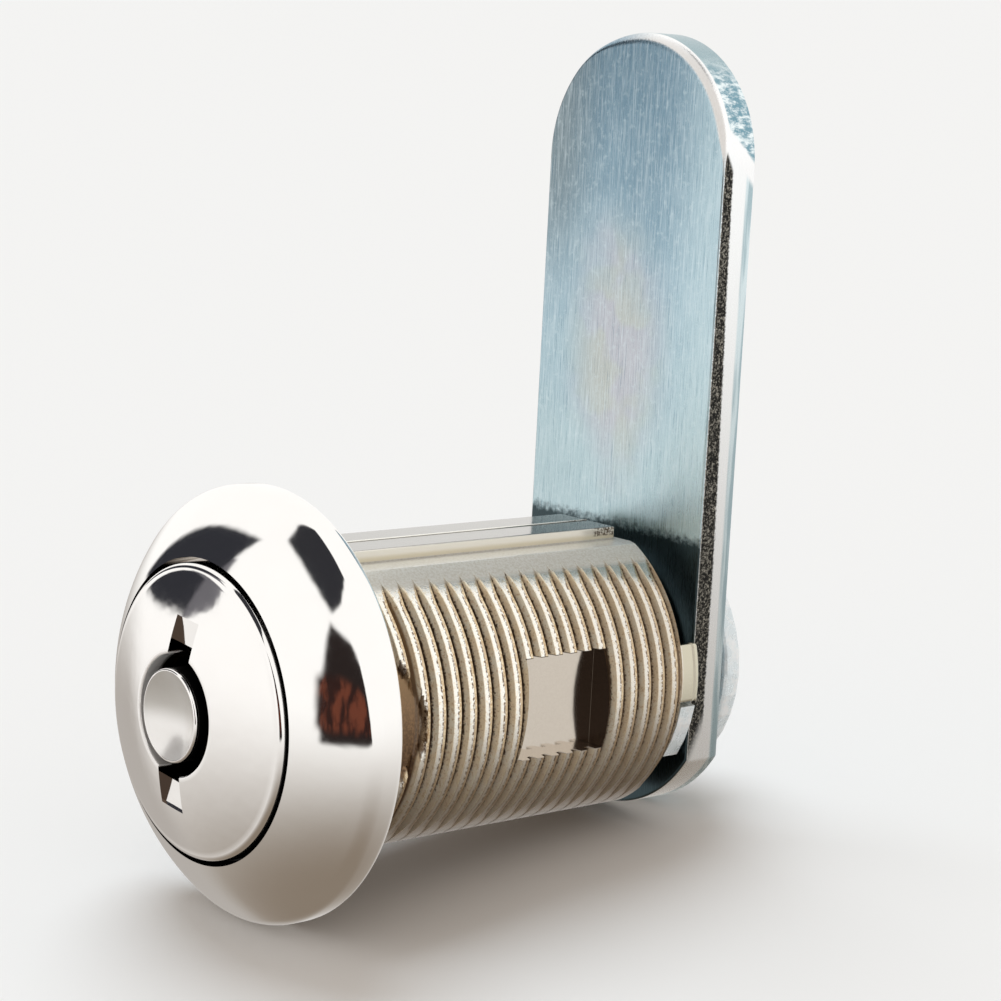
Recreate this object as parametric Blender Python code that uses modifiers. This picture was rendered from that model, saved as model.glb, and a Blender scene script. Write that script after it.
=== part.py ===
"""Cam lock with a round key: housing, plug, pin stacks, stop washer, cam and its fixings.

Metres, +Z up. The lock's axis is Y: the face looks to -Y and the cam is at +Y, pointing up.
The origin is on the axis at the bezel's back face, where the lock seats on its panel.
"""
import math

import bmesh
import bpy
from mathutils import Matrix

MM = 0.001

# Clearances
RUNNING_GAP = 0.3 * MM
PIN_CLEARANCE = 0.25 * MM
OVERSHOOT = 1.0 * MM

# Bezel
BEZEL_RADIUS = 13.0 * MM
BEZEL_BACK_FILLET = 0.5 * MM
BEZEL_EDGE_RADIUS = 1.6 * MM
BEZEL_EDGE_CENTRE_DEPTH = 1.3 * MM
BEZEL_DOME_RADIUS = 14.0 * MM
BEZEL_HEIGHT = 5.1 * MM
RIM_RADIUS = 9.0 * MM
SEAT_DEPTH = 2.85 * MM

# Thread: right-handed, with a plain neck behind the bezel and a plain land beside each flat
THREAD_RADIUS = 9.5 * MM
THREAD_PITCH = 1.165 * MM
THREAD_DEPTH = 0.5 * MM
THREAD_FLANK = 0.2 * MM
THREAD_ROOT_LENGTH = 0.28 * MM
THREAD_START = 0.3 * MM
THREAD_SPARE_TURNS = 4
NECK_LENGTH = 4.05 * MM
NECK_FADE = 0.4 * MM
RUNOUT_LAND = 0.4 * MM
RUNOUT_LENGTH = 1.2 * MM

# Barrel
BARREL_LENGTH = 25.0 * MM
BARREL_CHAMFER = 0.5 * MM
FLAT_DEPTH = 1.1 * MM
BORE_RADIUS = 7.0 * MM
LEAST_WALL = 0.6 * MM
REAR_WALL = 5.0 * MM
RIB_WIDTH = 5.2 * MM
RIB_HEIGHT = 0.8 * MM
RIB_END_GAP = 0.4 * MM
RIB_EDGE = 0.15 * MM
POCKET_START = 12.1 * MM
POCKET_LENGTH = 6.5 * MM
POCKET_HEIGHT = 6.2 * MM
POCKET_DEPTH = 1.75 * MM

# Stop lug and the washer's tabs, as angles from +X towards +Z
LUG_INSET = 0.3 * MM
LUG_THICKNESS = 1.4 * MM
LUG_LENGTH = 1.5 * MM
LUG_CENTRE_ANGLE = 5.0
LUG_WIDTH_ANGLE = 24.0
TAB_INSET = 0.5 * MM
TAB_WIDTH_ANGLE = 24.0
TAB_REST_GAP_ANGLE = 2.0
CAM_TURN_ANGLE = 90.0

# Plug
FACE_RADIUS = 8.7 * MM
FACE_EDGE_RADIUS = 0.5 * MM
FACE_EDGE_HEIGHT = 5.5 * MM
FACE_DOME_RADIUS = 22.0 * MM
KEYWAY_RADIUS = 3.55 * MM
KEYWAY_FLOOR = -1.0 * MM
POST_RADIUS = 2.75 * MM
POST_HEIGHT = 7.15 * MM
POST_EDGE_RADIUS = 0.15 * MM
POST_DISH_DEPTH = 1.1 * MM
NOTCH_REACH = 5.7 * MM
NOTCH_WIDTH = 2.2 * MM
NOTCH_DEPTH = 5.9 * MM
NOTCH_SLOT_REACH = 4.1 * MM
NOTCH_SLOT_WIDTH = 2.0 * MM
NOTCH_SLOT_STEP = 0.6 * MM
NOTCH_TILT = 5.0
SHAFT_RADIUS = 2.5 * MM
TAIL_HALF_WIDTH = 1.9 * MM
TAIL_CHAMFER = 0.4 * MM

# Pin stacks
PIN_COUNT = 7
PIN_CIRCLE_RADIUS = 3.95 * MM
PIN_RADIUS = 0.7 * MM
SHEAR_PLANE = 2.0 * MM
CHAMBER_FRONT = -5.0 * MM
CHAMBER_BACK = 13.0 * MM
KEY_PIN_LENGTHS = [4.6 * MM, 5.0 * MM, 3.8 * MM, 5.4 * MM, 4.2 * MM, 4.8 * MM, 4.0 * MM]
KEY_PIN_TIP = 0.35 * MM
DRIVER_LENGTH = 3.5 * MM
DRIVER_CHAMFER = 0.15 * MM
SPRING_WIRE_RADIUS = 0.14 * MM
SPRING_TURNS = 5
SPRING_POINTS_PER_TURN = 6

# Sleeve and its cross pin
SLEEVE_BORE_GAP = 0.25 * MM
SLEEVE_PIN_RADIUS = 0.95 * MM
SLEEVE_PIN_PLACE = 10.0 * MM
SLEEVE_PIN_SINK = 0.2 * MM
SLEEVE_PIN_BITE = 1.2 * MM

# Stop washer, cam and fixings
STOP_WASHER_THICKNESS = 1.2 * MM
CAM_THICKNESS = 2.8 * MM
CAM_HALF_WIDTH = 8.1 * MM
CAM_TIP_HEIGHT = 40.4 * MM
CAM_FOOT_RADIUS = 9.65 * MM
CAM_EDGE = 0.3 * MM
CAM_WASHER_RADIUS = 8.15 * MM
CAM_WASHER_THICKNESS = 1.4 * MM
CAM_WASHER_EDGE = 0.35 * MM
NUT_ACROSS_FLATS = 8.0 * MM
NUT_THICKNESS = 3.0 * MM
NUT_CHAMFER = 0.5 * MM
TAIL_OVERHANG = 1.2 * MM

# Facets
HOUSING_STEPS = 64
THREAD_STEPS = 30
PLUG_STEPS = 48
WASHER_STEPS = 36
NUT_STEPS = 24
PIN_STEPS = 10
CHAMBER_STEPS = 12
DOME_STEPS = 6
FILLET_STEPS = 3
ARC_STEPS = 24

# Sizes and places that follow from the sizes above
FLAT_HEIGHT = max(THREAD_RADIUS - FLAT_DEPTH, BORE_RADIUS + LEAST_WALL)
POCKET_FLOOR = max(THREAD_RADIUS - POCKET_DEPTH, BORE_RADIUS + LEAST_WALL)
LUG_OUTER_RADIUS = THREAD_RADIUS - LUG_INSET
LUG_INNER_RADIUS = LUG_OUTER_RADIUS - LUG_THICKNESS
STOP_DISC_RADIUS = LUG_INNER_RADIUS - RUNNING_GAP
TAB_OUTER_RADIUS = THREAD_RADIUS - TAB_INSET
DRUM_RADIUS = BORE_RADIUS - RUNNING_GAP
DRUM_BACK = SHEAR_PLANE - RUNNING_GAP / 2
SLEEVE_FRONT = SHEAR_PLANE + RUNNING_GAP / 2
SLEEVE_BACK = BARREL_LENGTH - REAR_WALL - RUNNING_GAP
CHAMBER_RADIUS = PIN_RADIUS + PIN_CLEARANCE
SPRING_BACK = CHAMBER_BACK - RUNNING_GAP
SPRING_FRONT = SLEEVE_FRONT + DRIVER_LENGTH + RUNNING_GAP
STOP_WASHER_FRONT = BARREL_LENGTH + RUNNING_GAP
CAM_FRONT = STOP_WASHER_FRONT + STOP_WASHER_THICKNESS + RUNNING_GAP
CAM_WASHER_FRONT = CAM_FRONT + CAM_THICKNESS + RUNNING_GAP
NUT_FRONT = CAM_WASHER_FRONT + CAM_WASHER_THICKNESS + RUNNING_GAP
TAIL_END = NUT_FRONT + NUT_THICKNESS + TAIL_OVERHANG
SLEEVE_PIN_TIP = DRUM_RADIUS - SLEEVE_PIN_BITE

# Colour, roughness and metallic value
CHROME = ("chrome", (0.83, 0.82, 0.80), 0.08, 1.0)
BRASS = ("brass", (0.70, 0.52, 0.24), 0.35, 1.0)
NICKEL_STEEL = ("nickel_steel", (0.62, 0.60, 0.56), 0.25, 1.0)
SPRING_STEEL = ("spring_steel", (0.45, 0.45, 0.46), 0.35, 1.0)
ZINC_PLATE = ("zinc_plate", (0.55, 0.63, 0.68), 0.30, 1.0)


# Scene, materials and small helpers

def clear_scene():
    for obj in list(bpy.data.objects):
        bpy.data.objects.remove(obj, do_unlink=True)


def new_collection(name):
    collection = bpy.data.collections.new(name)
    bpy.context.scene.collection.children.link(collection)
    return collection


def get_material(finish):
    name, colour, roughness, metallic = finish
    material = bpy.data.materials.get(name)
    if material is None:
        material = bpy.data.materials.new(name)
        material.use_nodes = True
        shader = material.node_tree.nodes["Principled BSDF"]
        shader.inputs["Base Color"].default_value = (*colour, 1.0)
        shader.inputs["Roughness"].default_value = roughness
        shader.inputs["Metallic"].default_value = metallic
        material.diffuse_color = (*colour, 1.0)
    return material


def move_to(obj, collection):
    for owner in list(obj.users_collection):
        owner.objects.unlink(obj)
    collection.objects.link(obj)


def make_cutter(obj):
    obj.hide_render = True
    obj.display_type = "WIRE"
    move_to(obj, cutters)
    return obj


def boolean(obj, tool, operation):
    modifier = obj.modifiers.new(operation.lower(), "BOOLEAN")
    modifier.operation = operation
    modifier.solver = "EXACT"
    modifier.object = tool


def bevel(obj, width, segments=2, angle=40.0):
    modifier = obj.modifiers.new("edges", "BEVEL")
    modifier.width = width
    modifier.segments = segments
    modifier.limit_method = "ANGLE"
    modifier.angle_limit = math.radians(angle)


def apply_shape(obj):
    """A new object that holds the object's evaluated mesh, in world space."""
    bpy.context.view_layer.update()
    depsgraph = bpy.context.evaluated_depsgraph_get()
    mesh = bpy.data.meshes.new_from_object(obj.evaluated_get(depsgraph))
    mesh.transform(obj.matrix_world)
    return bpy.data.objects.new(obj.name, mesh)


def replace_object(obj, collection):
    """Bake an object and put the baked one in its place."""
    name = obj.name
    baked = apply_shape(obj)
    bpy.data.objects.remove(obj, do_unlink=True)
    baked.name = name
    collection.objects.link(baked)
    return baked


def weld(obj):
    mesh = bmesh.new()
    mesh.from_mesh(obj.data)
    bmesh.ops.remove_doubles(mesh, verts=mesh.verts, dist=MM / 1000)
    bmesh.ops.recalc_face_normals(mesh, faces=mesh.faces)
    mesh.to_mesh(obj.data)
    mesh.free()


def finish_part(obj, finish, smooth_angle=32.0):
    part = replace_object(obj, parts)
    part.data.materials.clear()
    part.data.materials.append(get_material(finish))
    part.data.shade_smooth()
    part.data.set_sharp_from_angle(angle=math.radians(smooth_angle))
    return part


# Shape helpers

def polar(radius, degrees):
    angle = math.radians(degrees)
    return (radius * math.cos(angle), radius * math.sin(angle))


def arc(centre, radius, start, end, points):
    """Points of an arc about a centre, from one angle in degrees to another."""
    result = []
    for step in range(points + 1):
        x, y = polar(radius, start + (end - start) * step / points)
        result.append((centre[0] + x, centre[1] + y))
    return result


def turned(name, profile, steps, closed=True, pitch=0.0, turns=1):
    """Turn a profile of (radius, place along the lock's axis) about that axis.

    With a pitch the profile climbs along the axis, for a thread.
    """
    mesh = bpy.data.meshes.new(name)
    count = len(profile)
    edges = [(index, index + 1) for index in range(count - 1)]
    if closed:
        edges.append((count - 1, 0))
    mesh.from_pydata([(radius, 0.0, place) for radius, place in profile], edges, [])
    obj = bpy.data.objects.new(name, mesh)
    parts.objects.link(obj)
    screw = obj.modifiers.new("turn", "SCREW")
    screw.steps = steps
    screw.render_steps = steps
    screw.screw_offset = pitch
    screw.iterations = turns
    screw.use_merge_vertices = True
    screw.merge_threshold = MM / 1000
    obj.rotation_euler = (math.radians(-90), 0, 0)
    return replace_object(obj, parts)


def plate(name, outlines, front, back):
    """A flat plate across the lock's axis, from outlines of (x, z) points."""
    curve = bpy.data.curves.new(name, "CURVE")
    curve.dimensions = "2D"
    curve.fill_mode = "BOTH"
    curve.extrude = (back - front) / 2
    for outline in outlines:
        spline = curve.splines.new("POLY")
        spline.points.add(len(outline) - 1)
        for point, (x, z) in zip(spline.points, outline):
            point.co = (x, z, 0.0, 1.0)
        spline.use_cyclic_u = True
    obj = bpy.data.objects.new(name, curve)
    parts.objects.link(obj)
    obj.rotation_euler = (math.radians(90), 0, 0)
    obj.location = (0, (front + back) / 2, 0)
    baked = replace_object(obj, parts)
    weld(baked)
    return baked


def block(name, low, high):
    bpy.ops.mesh.primitive_cube_add(size=1.0)
    obj = bpy.context.active_object
    obj.name = name
    centre = [(a + b) / 2 for a, b in zip(low, high)]
    size = [b - a for a, b in zip(low, high)]
    obj.data.transform(Matrix.Translation(centre) @ Matrix.Diagonal((*size, 1.0)))
    move_to(obj, parts)
    return obj


def drill(name, radius, place, front, back, steps):
    """A round cutter along the lock's axis at (x, z)."""
    bpy.ops.mesh.primitive_cylinder_add(vertices=steps, radius=radius, depth=back - front)
    obj = bpy.context.active_object
    obj.name = name
    obj.rotation_euler = (math.radians(-90), 0, 0)
    obj.location = (place[0], (front + back) / 2, place[1])
    return make_cutter(obj)


def cross_drill(name, radius, place, bottom, top):
    """A round cutter along Z at a place on the lock's axis."""
    bpy.ops.mesh.primitive_cylinder_add(vertices=CHAMBER_STEPS, radius=radius, depth=top - bottom)
    obj = bpy.context.active_object
    obj.name = name
    obj.location = (0, place, (bottom + top) / 2)
    return make_cutter(obj)


def sector(inner, outer, centre_angle, width_angle):
    """Outline of a ring sector, angles in degrees from +X towards +Z."""
    start = centre_angle - width_angle / 2
    end = centre_angle + width_angle / 2
    outer_arc = arc((0, 0), outer, start, end, FILLET_STEPS)
    return outer_arc + arc((0, 0), inner, end, start, FILLET_STEPS)


def double_d(radius, half_width):
    """Outline of a circle with a flat on each side, for the tail and its holes."""
    corner = math.degrees(math.acos(half_width / radius))
    upper = arc((0, 0), radius, corner, 180 - corner, ARC_STEPS // 3)
    lower = arc((0, 0), radius, 180 + corner, 360 - corner, ARC_STEPS // 3)
    return upper + lower


def tail_hole():
    return double_d(SHAFT_RADIUS + RUNNING_GAP, TAIL_HALF_WIDTH + RUNNING_GAP)


def pin_places():
    """Centres of the pin stacks, the first straight above the axis."""
    step = 360.0 / PIN_COUNT
    return [polar(PIN_CIRCLE_RADIUS, 90.0 - step * index) for index in range(PIN_COUNT)]


# Housing

def bezel_profile():
    """From the bezel's back face, round its edge and over the dome to its inner rim."""
    edge_centre = (BEZEL_RADIUS - BEZEL_EDGE_RADIUS, -BEZEL_EDGE_CENTRE_DEPTH)
    back_centre = (BEZEL_RADIUS - BEZEL_BACK_FILLET, -BEZEL_BACK_FILLET)
    back = arc(back_centre, BEZEL_BACK_FILLET, 90, 0, FILLET_STEPS)
    rim = (RIM_RADIUS, -BEZEL_HEIGHT)
    tangent_angle, dome_centre = dome_tangent(edge_centre, rim)
    edge = arc(edge_centre, BEZEL_EDGE_RADIUS, 0, tangent_angle, FILLET_STEPS + 1)
    rim_angle = math.degrees(math.atan2(rim[1] - dome_centre[1], rim[0] - dome_centre[0]))
    dome = arc(dome_centre, BEZEL_DOME_RADIUS, tangent_angle, rim_angle, DOME_STEPS)
    return back + edge + dome[1:]


def dome_tangent(edge_centre, rim):
    """Centre of the dome's arc through the rim, tangent inside to the edge's arc."""
    reach = BEZEL_DOME_RADIUS - BEZEL_EDGE_RADIUS
    dx = rim[0] - edge_centre[0]
    dy = rim[1] - edge_centre[1]
    span = math.hypot(dx, dy)
    along = (reach ** 2 - BEZEL_DOME_RADIUS ** 2 + span ** 2) / (2 * span)
    across = math.sqrt(reach ** 2 - along ** 2)
    unit = (dx / span, dy / span)
    centre = (edge_centre[0] + unit[0] * along + unit[1] * across,
              edge_centre[1] + unit[1] * along - unit[0] * across)
    angle = math.degrees(math.atan2(edge_centre[1] - centre[1], edge_centre[0] - centre[0]))
    return angle, centre


def make_bezel():
    """The bezel with the seat for the plug's face, solid behind it."""
    inside = [(RIM_RADIUS, -SEAT_DEPTH), (0.0, -SEAT_DEPTH)]
    profile = [(0.0, 0.0)] + bezel_profile() + inside
    return make_cutter(turned("bezel", profile, HOUSING_STEPS, closed=False))


def make_bore():
    """Cutter for the bore, its rear wall and the hole for the plug's shaft."""
    shaft_hole = SHAFT_RADIUS + RUNNING_GAP
    front = -SEAT_DEPTH - OVERSHOOT
    shoulder = BARREL_LENGTH - REAR_WALL
    back = BARREL_LENGTH + OVERSHOOT
    profile = [(0.0, back), (shaft_hole, back), (shaft_hole, shoulder), (BORE_RADIUS, shoulder),
               (BORE_RADIUS, front), (0.0, front)]
    return make_cutter(turned("bore", profile, HOUSING_STEPS, closed=False))


def make_envelope():
    """The barrel's ends, rear chamfer and flats, which trim the longer threaded rod."""
    outer = THREAD_RADIUS + OVERSHOOT
    profile = [(0.0, BARREL_LENGTH),
               (THREAD_RADIUS - BARREL_CHAMFER, BARREL_LENGTH),
               (outer, BARREL_LENGTH - BARREL_CHAMFER - OVERSHOOT),
               (outer, -BEZEL_BACK_FILLET),
               (0.0, -BEZEL_BACK_FILLET)]
    envelope = make_cutter(turned("envelope", profile, HOUSING_STEPS, closed=False))
    boolean(envelope, flat_cutter("upper_flat", 1), "DIFFERENCE")
    boolean(envelope, flat_cutter("lower_flat", -1), "DIFFERENCE")
    return envelope


def thread_profile():
    """One pitch of the thread as (radius, place), from a groove's start to the next groove."""
    root = THREAD_RADIUS - THREAD_DEPTH
    crest_start = THREAD_ROOT_LENGTH + THREAD_FLANK
    crest_end = THREAD_PITCH - THREAD_FLANK
    return [(root, THREAD_PITCH), (THREAD_RADIUS, crest_end), (THREAD_RADIUS, crest_start),
            (root, THREAD_ROOT_LENGTH), (root, 0.0)]


def smooth_share(value):
    value = min(max(value, 0.0), 1.0)
    return value * value * (3.0 - 2.0 * value)


def groove_radius(height):
    """Radius of the thread's groove, which runs out to the crest beside each flat."""
    end = FLAT_HEIGHT - RUNOUT_LAND
    share = smooth_share((abs(height) - end + RUNOUT_LENGTH) / RUNOUT_LENGTH)
    return THREAD_RADIUS - THREAD_DEPTH * (1.0 - share)


def run_out(vertex):
    """Move a vertex of the full thread to the run-outs beside the flats and at the neck."""
    x, place, z = vertex.co
    radius = math.hypot(x, z)
    crest_share = 1.0 - (THREAD_RADIUS - radius) / THREAD_DEPTH
    crest_share *= smooth_share((place - NECK_LENGTH) / NECK_FADE)
    groove = groove_radius(THREAD_RADIUS * z / radius)
    scale = (groove + (THREAD_RADIUS - groove) * crest_share) / radius
    vertex.co = (x * scale, place, z * scale)


def close_end(mesh, edges):
    """Close an open end of the threaded rod with a fan from a point on the axis."""
    place = sum(edge.verts[0].co.y for edge in edges) / len(edges)
    tip = mesh.verts.new((0.0, place, 0.0))
    for edge in edges:
        mesh.faces.new((edge.verts[0], edge.verts[1], tip))


def make_threaded_rod():
    """A solid threaded rod that is longer than the barrel at both ends."""
    rod = turned("housing", thread_profile(), THREAD_STEPS, closed=False,
                 pitch=THREAD_PITCH, turns=math.ceil(BARREL_LENGTH / THREAD_PITCH) + THREAD_SPARE_TURNS)
    mesh = bmesh.new()
    mesh.from_mesh(rod.data)
    start = THREAD_START - (THREAD_SPARE_TURNS - 1) * THREAD_PITCH
    bmesh.ops.translate(mesh, verts=mesh.verts, vec=(0.0, start, 0.0))
    bmesh.ops.remove_doubles(mesh, verts=mesh.verts, dist=MM / 1000)
    open_edges = [edge for edge in mesh.edges if len(edge.link_faces) == 1]
    for vertex in mesh.verts:
        run_out(vertex)
    middle = BARREL_LENGTH / 2
    close_end(mesh, [edge for edge in open_edges if edge.verts[0].co.y < middle])
    close_end(mesh, [edge for edge in open_edges if edge.verts[0].co.y > middle])
    bmesh.ops.recalc_face_normals(mesh, faces=mesh.faces)
    mesh.to_mesh(rod.data)
    mesh.free()
    return rod


def flat_cutter(name, side):
    reach = THREAD_RADIUS + 2 * OVERSHOOT
    ends = sorted((side * FLAT_HEIGHT, side * reach))
    low = (-reach, -BEZEL_BACK_FILLET - OVERSHOOT, ends[0])
    high = (reach, BARREL_LENGTH + OVERSHOOT, ends[1])
    return make_cutter(block(name, low, high))


def make_rib():
    """The raised rib along the upper flat, rooted in the flat and in the bezel."""
    low = (-RIB_WIDTH / 2, -BEZEL_BACK_FILLET, FLAT_HEIGHT - RIB_HEIGHT / 2)
    high = (RIB_WIDTH / 2, BARREL_LENGTH - RIB_END_GAP, FLAT_HEIGHT + RIB_HEIGHT)
    rib = block("rib", low, high)
    bevel(rib, RIB_EDGE, segments=1)
    return make_cutter(rib)


def make_lug():
    outline = sector(LUG_INNER_RADIUS, LUG_OUTER_RADIUS, LUG_CENTRE_ANGLE, LUG_WIDTH_ANGLE)
    root = BARREL_LENGTH - BARREL_CHAMFER - RUNNING_GAP
    return make_cutter(plate("stop_lug", [outline], root, BARREL_LENGTH + LUG_LENGTH))


def make_pocket():
    low = (POCKET_FLOOR, POCKET_START, -POCKET_HEIGHT / 2)
    high = (THREAD_RADIUS + OVERSHOOT, POCKET_START + POCKET_LENGTH, POCKET_HEIGHT / 2)
    return make_cutter(block("pocket", low, high))


def make_housing():
    housing = make_threaded_rod()
    boolean(housing, make_envelope(), "INTERSECT")
    boolean(housing, make_pocket(), "DIFFERENCE")
    boolean(housing, make_rib(), "UNION")
    boolean(housing, make_lug(), "UNION")
    boolean(housing, make_bezel(), "UNION")
    boolean(housing, make_bore(), "DIFFERENCE")
    hole = cross_drill("sleeve_pin_hole", SLEEVE_PIN_RADIUS + PIN_CLEARANCE, SLEEVE_PIN_PLACE,
                       -THREAD_RADIUS - OVERSHOOT, -SLEEVE_PIN_TIP)
    boolean(housing, hole, "DIFFERENCE")
    return finish_part(housing, CHROME)


# Plug

def dome_height(radius):
    """How far the plug's domed face stands out at a radius, as a place on the axis."""
    edge_radius = FACE_RADIUS - FACE_EDGE_RADIUS
    fall = math.sqrt(FACE_DOME_RADIUS ** 2 - radius ** 2)
    edge_fall = math.sqrt(FACE_DOME_RADIUS ** 2 - edge_radius ** 2)
    return -FACE_EDGE_HEIGHT - (fall - edge_fall)


def post_profile():
    """Up the centre post's side, round its rim and down into its dished end."""
    rim_centre = (POST_RADIUS - POST_EDGE_RADIUS, -POST_HEIGHT + POST_EDGE_RADIUS)
    rim = arc(rim_centre, POST_EDGE_RADIUS, 0, -90, FILLET_STEPS)
    dish_radius = POST_RADIUS - POST_EDGE_RADIUS
    dish = []
    for step in range(1, DOME_STEPS):
        share = 1 - step / DOME_STEPS
        depth = POST_DISH_DEPTH * (1 - share ** 2)
        dish.append((dish_radius * share, -POST_HEIGHT + depth))
    return rim + dish + [(0.0, -POST_HEIGHT + POST_DISH_DEPTH)]


def face_profile():
    """Round the face's edge and over its dome to the keyway's rim."""
    edge_centre = (FACE_RADIUS - FACE_EDGE_RADIUS, -FACE_EDGE_HEIGHT + FACE_EDGE_RADIUS)
    edge = arc(edge_centre, FACE_EDGE_RADIUS, 0, -90, FILLET_STEPS)
    dome = []
    inner = KEYWAY_RADIUS
    outer = FACE_RADIUS - FACE_EDGE_RADIUS
    for step in range(1, DOME_STEPS + 1):
        radius = outer + (inner - outer) * step / DOME_STEPS
        dome.append((radius, dome_height(radius)))
    return edge + dome


def plug_profile():
    tail = [(0.0, TAIL_END),
            (SHAFT_RADIUS - TAIL_CHAMFER, TAIL_END),
            (SHAFT_RADIUS, TAIL_END - TAIL_CHAMFER),
            (SHAFT_RADIUS, DRUM_BACK),
            (DRUM_RADIUS, DRUM_BACK),
            (DRUM_RADIUS, -SEAT_DEPTH - RUNNING_GAP),
            (FACE_RADIUS, -SEAT_DEPTH - RUNNING_GAP)]
    keyway = [(KEYWAY_RADIUS, KEYWAY_FLOOR), (POST_RADIUS, KEYWAY_FLOOR)]
    return tail + face_profile() + keyway + post_profile()


def notch_cutter(name, side, width, reach, floor):
    """Cutter for one step of a notch in the keyway's outer wall."""
    inside_keyway = (KEYWAY_RADIUS + POST_RADIUS) / 2
    ends = sorted((side * inside_keyway, side * reach))
    low = (-width / 2, -POST_HEIGHT - OVERSHOOT, ends[0])
    high = (width / 2, floor, ends[1])
    cutter = block(name, low, high)
    cutter.rotation_euler = (0, math.radians(NOTCH_TILT), 0)
    return make_cutter(cutter)


def tail_flat_cutter(name, side):
    ends = sorted((side * TAIL_HALF_WIDTH, side * (SHAFT_RADIUS + OVERSHOOT)))
    low = (ends[0], BARREL_LENGTH, -SHAFT_RADIUS - OVERSHOOT)
    high = (ends[1], TAIL_END + OVERSHOOT, SHAFT_RADIUS + OVERSHOOT)
    return make_cutter(block(name, low, high))


def make_plug():
    plug = turned("plug", plug_profile(), PLUG_STEPS, closed=False)
    slot_floor = KEYWAY_FLOOR - NOTCH_SLOT_STEP
    for name, side in (("upper", 1), ("lower", -1)):
        shelf = notch_cutter(name + "_shelf", side, NOTCH_WIDTH, NOTCH_REACH, -NOTCH_DEPTH)
        slot = notch_cutter(name + "_slot", side, NOTCH_SLOT_WIDTH, NOTCH_SLOT_REACH, slot_floor)
        boolean(plug, shelf, "DIFFERENCE")
        boolean(plug, slot, "DIFFERENCE")
    for index, place in enumerate(pin_places(), start=1):
        chamber = drill(f"plug_chamber_{index}", CHAMBER_RADIUS, place, CHAMBER_FRONT,
                        DRUM_BACK + OVERSHOOT, CHAMBER_STEPS)
        boolean(plug, chamber, "DIFFERENCE")
    boolean(plug, tail_flat_cutter("right_tail_flat", 1), "DIFFERENCE")
    boolean(plug, tail_flat_cutter("left_tail_flat", -1), "DIFFERENCE")
    return finish_part(plug, CHROME)


# Sleeve, pins and springs

def make_sleeve():
    inner = SHAFT_RADIUS + SLEEVE_BORE_GAP
    profile = [(DRUM_RADIUS, SLEEVE_BACK), (DRUM_RADIUS, SLEEVE_FRONT),
               (inner, SLEEVE_FRONT), (inner, SLEEVE_BACK)]
    sleeve = turned("sleeve", profile, PLUG_STEPS)
    for index, place in enumerate(pin_places(), start=1):
        chamber = drill(f"sleeve_chamber_{index}", CHAMBER_RADIUS, place,
                        SLEEVE_FRONT - OVERSHOOT, CHAMBER_BACK, CHAMBER_STEPS)
        boolean(sleeve, chamber, "DIFFERENCE")
    hole = cross_drill("sleeve_cross_hole", SLEEVE_PIN_RADIUS + PIN_CLEARANCE, SLEEVE_PIN_PLACE,
                       -DRUM_RADIUS - OVERSHOOT, -SLEEVE_PIN_TIP + RUNNING_GAP)
    boolean(sleeve, hole, "DIFFERENCE")
    return finish_part(sleeve, BRASS)


def make_sleeve_pin():
    bottom = -FLAT_HEIGHT + SLEEVE_PIN_SINK
    top = -SLEEVE_PIN_TIP
    bpy.ops.mesh.primitive_cylinder_add(vertices=CHAMBER_STEPS, radius=SLEEVE_PIN_RADIUS,
                                        depth=top - bottom)
    pin = bpy.context.active_object
    pin.name = "sleeve_pin"
    pin.location = (0, SLEEVE_PIN_PLACE, (bottom + top) / 2)
    bevel(pin, DRIVER_CHAMFER, segments=1)
    return finish_part(pin, NICKEL_STEEL)


def set_place(obj, place):
    """Move a piece that was made about the lock's axis to its own axis at (x, z)."""
    obj.location = (place[0], 0, place[1])


def make_key_pin(index, place, length):
    profile = [(0.0, DRUM_BACK), (PIN_RADIUS, DRUM_BACK),
               (PIN_RADIUS, DRUM_BACK - length + KEY_PIN_TIP),
               (0.0, DRUM_BACK - length)]
    pin = finish_part(turned(f"key_pin_{index}", profile, PIN_STEPS, closed=False), BRASS)
    set_place(pin, place)


def make_driver_pin(index, place):
    back = SLEEVE_FRONT + DRIVER_LENGTH
    profile = [(0.0, back),
               (PIN_RADIUS - DRIVER_CHAMFER, back),
               (PIN_RADIUS, back - DRIVER_CHAMFER),
               (PIN_RADIUS, SLEEVE_FRONT + DRIVER_CHAMFER),
               (PIN_RADIUS - DRIVER_CHAMFER, SLEEVE_FRONT),
               (0.0, SLEEVE_FRONT)]
    pin = turned(f"driver_pin_{index}", profile, PIN_STEPS, closed=False)
    set_place(finish_part(pin, NICKEL_STEEL), place)


def make_spring(index, place):
    """A coil along the chamber, from just behind the driver pin to the chamber's end."""
    curve = bpy.data.curves.new(f"pin_spring_{index}", "CURVE")
    curve.dimensions = "3D"
    curve.bevel_depth = SPRING_WIRE_RADIUS
    curve.bevel_resolution = 0
    curve.use_fill_caps = True
    count = SPRING_TURNS * SPRING_POINTS_PER_TURN + 1
    spline = curve.splines.new("POLY")
    spline.points.add(count - 1)
    radius = PIN_RADIUS - SPRING_WIRE_RADIUS
    start = SPRING_FRONT + SPRING_WIRE_RADIUS
    length = SPRING_BACK - SPRING_FRONT - 2 * SPRING_WIRE_RADIUS
    for step, point in enumerate(spline.points):
        x, z = polar(radius, 360.0 * step / SPRING_POINTS_PER_TURN)
        point.co = (x, start + length * step / (count - 1), z, 1.0)
    obj = bpy.data.objects.new(f"pin_spring_{index}", curve)
    parts.objects.link(obj)
    spring = finish_part(obj, SPRING_STEEL)
    weld(spring)
    set_place(spring, place)


def make_pin_stacks():
    for index, (place, length) in enumerate(zip(pin_places(), KEY_PIN_LENGTHS), start=1):
        make_key_pin(index, place, length)
        make_driver_pin(index, place)
        make_spring(index, place)


# Stop washer, cam and fixings

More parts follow.
